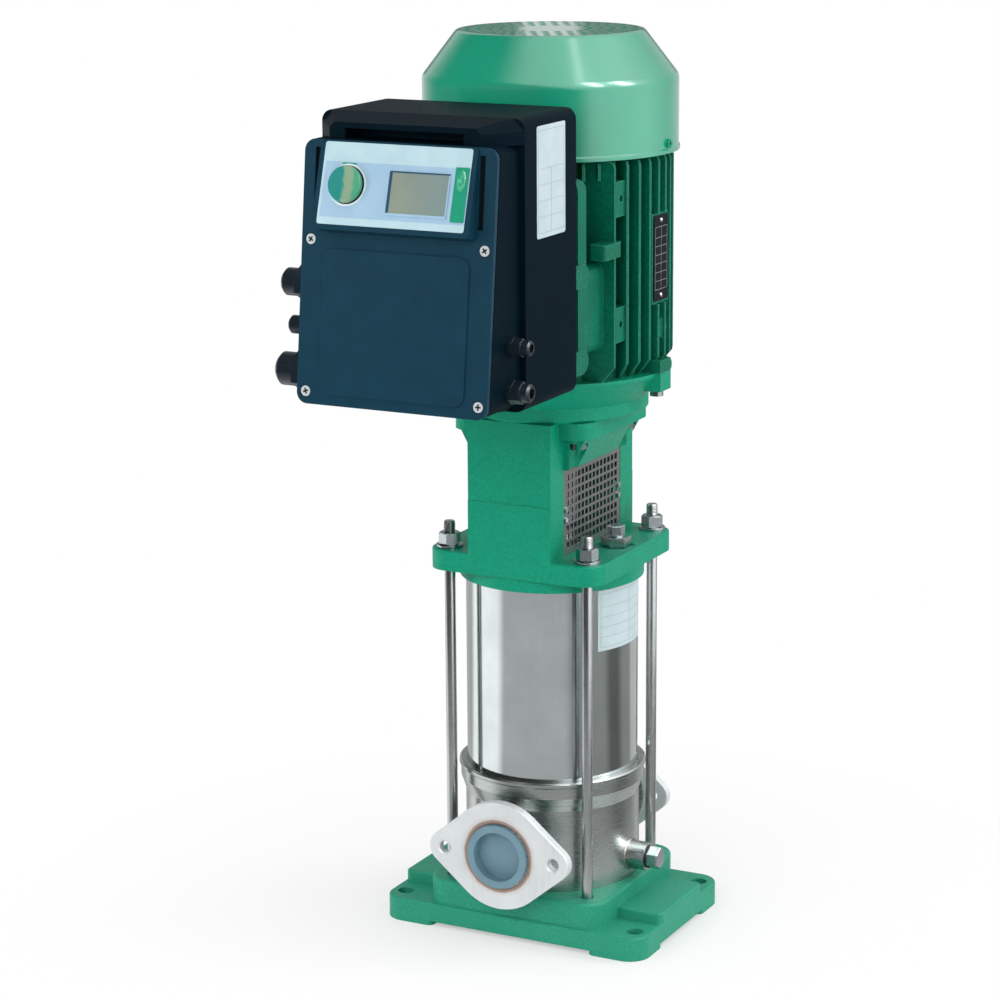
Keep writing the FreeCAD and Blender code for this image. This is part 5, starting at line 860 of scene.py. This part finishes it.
def rod_profile():
    """A rolled stud: a plain shank with rolled thread at its upper end."""
    points = [(0, ROD_FOOT), (SHANK, ROD_FOOT), (SHANK, HOUSING_SEAT)]
    height = PLATE_TOP + 0.2
    points += [(THREAD_ROOT, HOUSING_SEAT + 1), (THREAD_ROOT, height)]
    while height < ROD_TOP - 1.0 - THREAD_PITCH:
        points += [(THREAD_CREST, height + 0.35 * THREAD_PITCH), (THREAD_CREST, height + 0.55 * THREAD_PITCH),
                   (THREAD_ROOT, height + 0.95 * THREAD_PITCH), (THREAD_ROOT, height + THREAD_PITCH)]
        height += THREAD_PITCH
    points += [(THREAD_CREST - 0.1, ROD_TOP - 1.0), (THREAD_ROOT - 0.4, ROD_TOP), (0, ROD_TOP)]
    return points


def hex_nut(across, height, bore, steps=72):
    """A nut from its own axis, with the turned chamfers that leave an arc on each flat."""
    rings = []
    bevel = 0.96 * across / 2
    for level in range(6):
        ring = []
        for i in range(steps):
            turn = 2 * math.pi * i / steps
            from_flat = (math.degrees(turn) + 30) % 60 - 30
            reach = across / 2 / math.cos(math.radians(from_flat))
            drop = (reach - bevel) * math.tan(math.radians(30))
            radius = (bore, bevel, reach, reach, bevel, bore)[level]
            z = (0, 0, drop, height - drop, height, height)[level]
            ring.append((radius * math.cos(turn), radius * math.sin(turn), z))
        rings.append(ring)
    verts = [point for ring in rings for point in ring]
    faces = []
    for level in range(6):
        low, high = level * steps, (level + 1) % 6 * steps
        for i in range(steps):
            j = (i + 1) % steps
            faces.append([low + i, low + j, high + j, high + i])
    return verts, faces


def rods():
    corners = [(x, y) for x in (-ROD_HALF, ROD_HALF) for y in (-ROD_HALF, ROD_HALF)]
    nut = hex_nut(NUT_ACROSS, NUT_HEIGHT, NUT_BORE)
    stud = lathe(rod_profile(), 40)
    parts = [at(Matrix.Translation((x, y, 0)), stud) for x, y in corners]
    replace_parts(build("tie_rod_set", *joined(parts), FINISHES["rod_steel"], slot="zinc_steel"), "tie_rods")
    parts = []
    for i, (x, y) in enumerate(corners):
        turned = Matrix.Rotation(math.radians(11 + 19 * i), 4, "Z")
        parts.append(at(Matrix.Translation((x, y, PLATE_TOP + WASHER)) @ turned, nut))
    nuts = build("tie_rod_nut_set", *joined(parts), FINISHES["zinc_steel"], slot="zinc_steel", angle=25)
    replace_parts(nuts, "tie_rod_nuts")


# Weld beads

PORT_WELD, PORT_BEAD = 28.4, 1.6
DRAIN_WELD, DRAIN_BEAD = 12.3, 1.3


def beads():
    """Weld beads where the port stubs and the drain boss leave the housing."""
    parts = []
    for side in (-1, 1):
        path = []
        for rise, x in circle(PORT_WELD, 120):
            path.append((x, side * math.sqrt(HOUSING_RADIUS ** 2 - x ** 2), PORT_HEIGHT + rise))
        parts.append(sweep(path, circle(PORT_BEAD)))
    path = []
    for rise, y in circle(DRAIN_WELD, 60):
        path.append((math.sqrt(HOUSING_RADIUS ** 2 - y ** 2), y, DRAIN_HEIGHT + rise))
    parts.append(sweep(path, circle(DRAIN_BEAD)))
    build("weld_beads", *joined(parts), FINISHES["weld_steel"], slot="housing_steel", angle=60)


# Labels, plates and the display's printed parts

DISPLAY_TOP = 0.8
KNOB_PLACE = (-39.5, 30.0)
KNOB_LIFT = 1.4
STRIP_PLACE = (55.4, 27.6)
LENS_PLACE = (55.4, 38.0)
SCREEN_BOX = (-4.0, 46.0, 9.5, 42.0)
COVER_SCREWS = [(x, rise) for x in (-73.5, 73.5) for rise in (9.5, 124.1)]
HEAD_SINK = -0.3
PRINT = 0.06
INK = 0.05


def slab(left, right, low, high, under, over):
    return prism([(left, low), (right, low), (right, high), (left, high)], under, over)


def ring_plate(inner, outer, low, high, centre=(0, 0), steps=64):
    part = lathe([(inner, low), (outer, low), (outer, high), (inner, high)], steps)
    return at(Matrix.Translation((*centre, 0)), part)


def display():
    """The printed and moulded details on the display's foil."""
    plane = lean(*DISPLAY_LEAN)
    top = DISPLAY_TOP

    def place(name, parts, finish, slot="foil", angle=35.0):
        build(name, *at(plane, joined(parts)), FINISHES[finish], slot=slot, angle=angle)

    place("knob_surround", [ring_plate(14.5, 15.9, top, top + 0.35, KNOB_PLACE)], "ink_pale")
    # A black ring under the knob's rim: painted shade in the gap round the knob.
    place("knob_gap_shade", [ring_plate(6.2, 14.5, top, top + 0.10, KNOB_PLACE)], "ink_black")
    mark = rounded(12.0, 1.3, 0.4, 4, (KNOB_PLACE[0], 46.0))
    place("knob_mark", [prism(mark, top, top + PRINT)], "ink_green")
    strip = rounded(11.2, 40.5, 0.5, 4, STRIP_PLACE)
    place("sensor_strip", [prism(strip, top, top + 0.5)], "ink_green")
    left, right, low, high = SCREEN_BOX
    wide, thin, over = 1.8, 0.7, 0.3
    dark = [slab(left - over, left + wide, low + 1.6, high + over, top, top + 1.0),
            slab(left + wide, right, high - thin, high + over, top, top + 1.0)]
    place("screen_edge_dark", dark, "ink_blue")
    pale = [slab(left - over, right + over, low - over, low + 1.6, top, top + 0.9),
            slab(right - thin, right + over, low + 1.6, high - thin, top, top + 0.9)]
    place("screen_edge_pale", pale, "foil")
    rises = [math.radians(10 * i) for i in range(1, 9)]
    dome = lathe([(1.0, 0.0)] + [(math.cos(turn), math.sin(turn)) for turn in rises] + [(0, 1.0)], 40)
    squeezed = Matrix.Translation((*LENS_PLACE, top + 0.4)) @ Matrix.Diagonal((3.6, 8.0, 1.5, 1))
    place("sensor_lens", [at(squeezed, dome)], "lens_clear", "screen_glass", 80)


def knob():
    """The flat selector knob with its finger dish."""
    plane = lean(*DISPLAY_LEAN) @ Matrix.Translation((*KNOB_PLACE, DISPLAY_TOP + KNOB_LIFT))
    profile = [(0, 0), (13.4, 0), (13.9, 0.4), (14.0, 1.2), (14.0, 3.0), (13.6, 3.9), (12.8, 4.4),
               (11.9, 4.4), (11.0, 4.1), (8.5, 3.6), (4.5, 3.3), (0, 3.2)]
    turned = at(plane, lathe(profile, 72))
    piece = build("selector_knob", *turned, FINISHES["knob_green"], "control_knob", "knob_green", 50)
    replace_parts(piece, "control_knob")


SLOT_SPANS = ((-71.4, -67.1), (67.1, 71.4))
SLOT_LOW, SLOT_HIGH = 139.2, 192.8


def cover_details():
    """The cover screws' cross recesses and the side slots' floors, painted black as shade, and the dark rings
    round the screws.
    """
    plane = lean(*COVER_LEAN)
    crosses, rings = [], []
    arm, half = 2.3, 0.65
    for i, centre in enumerate(COVER_SCREWS):
        turned = Matrix.Translation((*centre, 0)) @ Matrix.Rotation(math.radians(20 + 35 * i), 4, "Z")
        outline = [(arm, -half), (arm, half), (half, half), (half, arm), (-half, arm), (-half, half),
                   (-arm, half), (-arm, -half), (-half, -half), (-half, -arm), (half, -arm), (half, -half)]
        # Black crosses on the screw heads: painted shade for the recesses.
        crosses.append(at(turned, prism(outline, HEAD_SINK - 0.02, HEAD_SINK + INK)))
        rings.append(ring_plate(4.02, 4.55, -1.9, -0.6, centre, 40))
    # Black slabs on the side slots' floors: painted shade for their depth.
    slots = [slab(left, right, SLOT_LOW, SLOT_HIGH, -2.98, -2.85) for left, right in SLOT_SPANS]
    build("slot_shadows", *at(plane, joined(slots)), FINISHES["ink_black"], slot="drive_plastic")
    build("screw_crosses", *at(plane, joined(crosses)), FINISHES["ink_black"], slot="zinc_steel")
    build("screw_rings", *at(plane, joined(rings)), FINISHES["ink_black"], slot="drive_plastic")


PLATE_FACE = 97
PLATE_LOW, PLATE_HIGH = 535, 604
PLATE_MIDDLE, PLATE_HALF = 3, 13


def nameplate():
    """Bare ruled lines and two rivets on the motor's plate."""
    side = facing((PLATE_FACE, 0, 0), (1, 0, 0))
    left, right = PLATE_MIDDLE - PLATE_HALF + 1.6, PLATE_MIDDLE + PLATE_HALF - 1.6
    low, high = PLATE_LOW + 9, PLATE_LOW + 59.5
    heights = [low + 7 * i for i in range(7)] + [high]
    lines = [slab(left, right, z, z + 0.35, 0.01, PRINT) for z in heights]
    lines += [slab(y, y + 0.35, low, high, 0.01, PRINT) for y in (left, right - 0.35, PLATE_MIDDLE)]
    build("nameplate_rules", *at(side, joined(lines)), FINISHES["ink_grey"], slot="plate_black")
    rivet = lathe([(0, 0), (2.1, 0), (2.0, 0.5), (1.4, 0.95), (0.6, 1.15), (0, 1.2)], 28)
    places = [(PLATE_MIDDLE, PLATE_LOW + 4.2, 0), (PLATE_MIDDLE, PLATE_HIGH - 4.2, 0)]
    rivets = [at(side @ Matrix.Translation(place), rivet) for place in places]
    build("nameplate_rivets", *joined(rivets), FINISHES["zinc_steel"], slot="zinc_steel", angle=60)


LINE = 0.3
DRIVE_SIDE = 86
LABEL_PLACE, LABEL_WIDE, LABEL_TALL = (-173, 652.3), 47.5, 84
FORM_BOX = (-194.5, -151.5, 614, 690.5)
FORM_STEP = 12
SHEET = (0.02, 0.22)
SHEET_INK = (0.22, 0.28)
SLEEVE_ANGLES = (57.8, 121)
SLEEVE_HEIGHTS = (246.5, 298)


def drive_label():
    """The label on the drive's side, with an empty form."""
    side = facing((DRIVE_SIDE, 0, 0), (1, 0, 0))
    outline = rounded(LABEL_WIDE, LABEL_TALL, 2, centre=LABEL_PLACE)
    sheet = prism(outline, 0.02, 0.25)
    build("drive_label", *at(side, sheet), FINISHES["label_white"], slot="drive_plastic")
    left, right, low, high = FORM_BOX
    ink = (0.25, 0.25 + PRINT)
    heights = [low + FORM_STEP * i for i in range(5)]
    rules = [slab(left, right, z, z + LINE, *ink) for z in heights + [high]]
    rules += [slab(y, y + LINE, low, high, *ink) for y in (left, right - LINE)]
    rules.append(slab(LABEL_PLACE[0], LABEL_PLACE[0] + LINE, low, heights[-1], *ink))
    build("drive_label_rules", *at(side, joined(rules)), FINISHES["ink_grey"], slot="drive_plastic")


def sleeve_label():
    """The label round the sleeve, with an empty form."""
    start, end = [math.radians(angle) for angle in SLEEVE_ANGLES]
    sheet = curved(start, end, *SLEEVE_HEIGHTS, *SHEET)
    build("sleeve_label", *sheet, FINISHES["label_white"], slot="sleeve_steel")
    edge, thin = math.radians(2.2), math.radians(0.25)
    heights = (249.5, 258, 266.5, 275, 283.5, 294.7)
    bands = [curved(start + edge, end - edge, z, z + LINE, *SHEET_INK) for z in heights]
    turns = (start + edge, math.radians(88), end - edge - thin)
    bands += [curved(turn, turn + thin, 249.5, 295, *SHEET_INK) for turn in turns]
    build("sleeve_label_rules", *joined(bands), FINISHES["ink_grey"], slot="sleeve_steel")


def curved(start, end, low, high, under, over, steps=32):
    """A sheet bent round the sleeve between two angles from the front."""
    verts, faces = [], []
    for reach in (SLEEVE_RADIUS + under, SLEEVE_RADIUS + over):
        for i in range(steps + 1):
            turn = start + (end - start) * i / steps
            for z in (low, high):
                verts.append((reach * math.sin(turn), -reach * math.cos(turn), z))
    ring = 2 * (steps + 1)
    for i in range(steps):
        a = 2 * i
        faces.append([a, a + 2, a + 3, a + 1])
        faces.append([a + ring, a + 1 + ring, a + 3 + ring, a + 2 + ring])
        faces.append([a, a + ring, a + 2 + ring, a + 2])
        faces.append([a + 1, a + 3, a + 3 + ring, a + 1 + ring])
    faces.append([0, 1, 1 + ring, ring])
    a = 2 * steps
    faces.append([a, a + ring, a + 1 + ring, a + 1])
    return verts, faces


rods()
beads()
display()
knob()
cover_details()
nameplate()
drive_label()
sleeve_label()
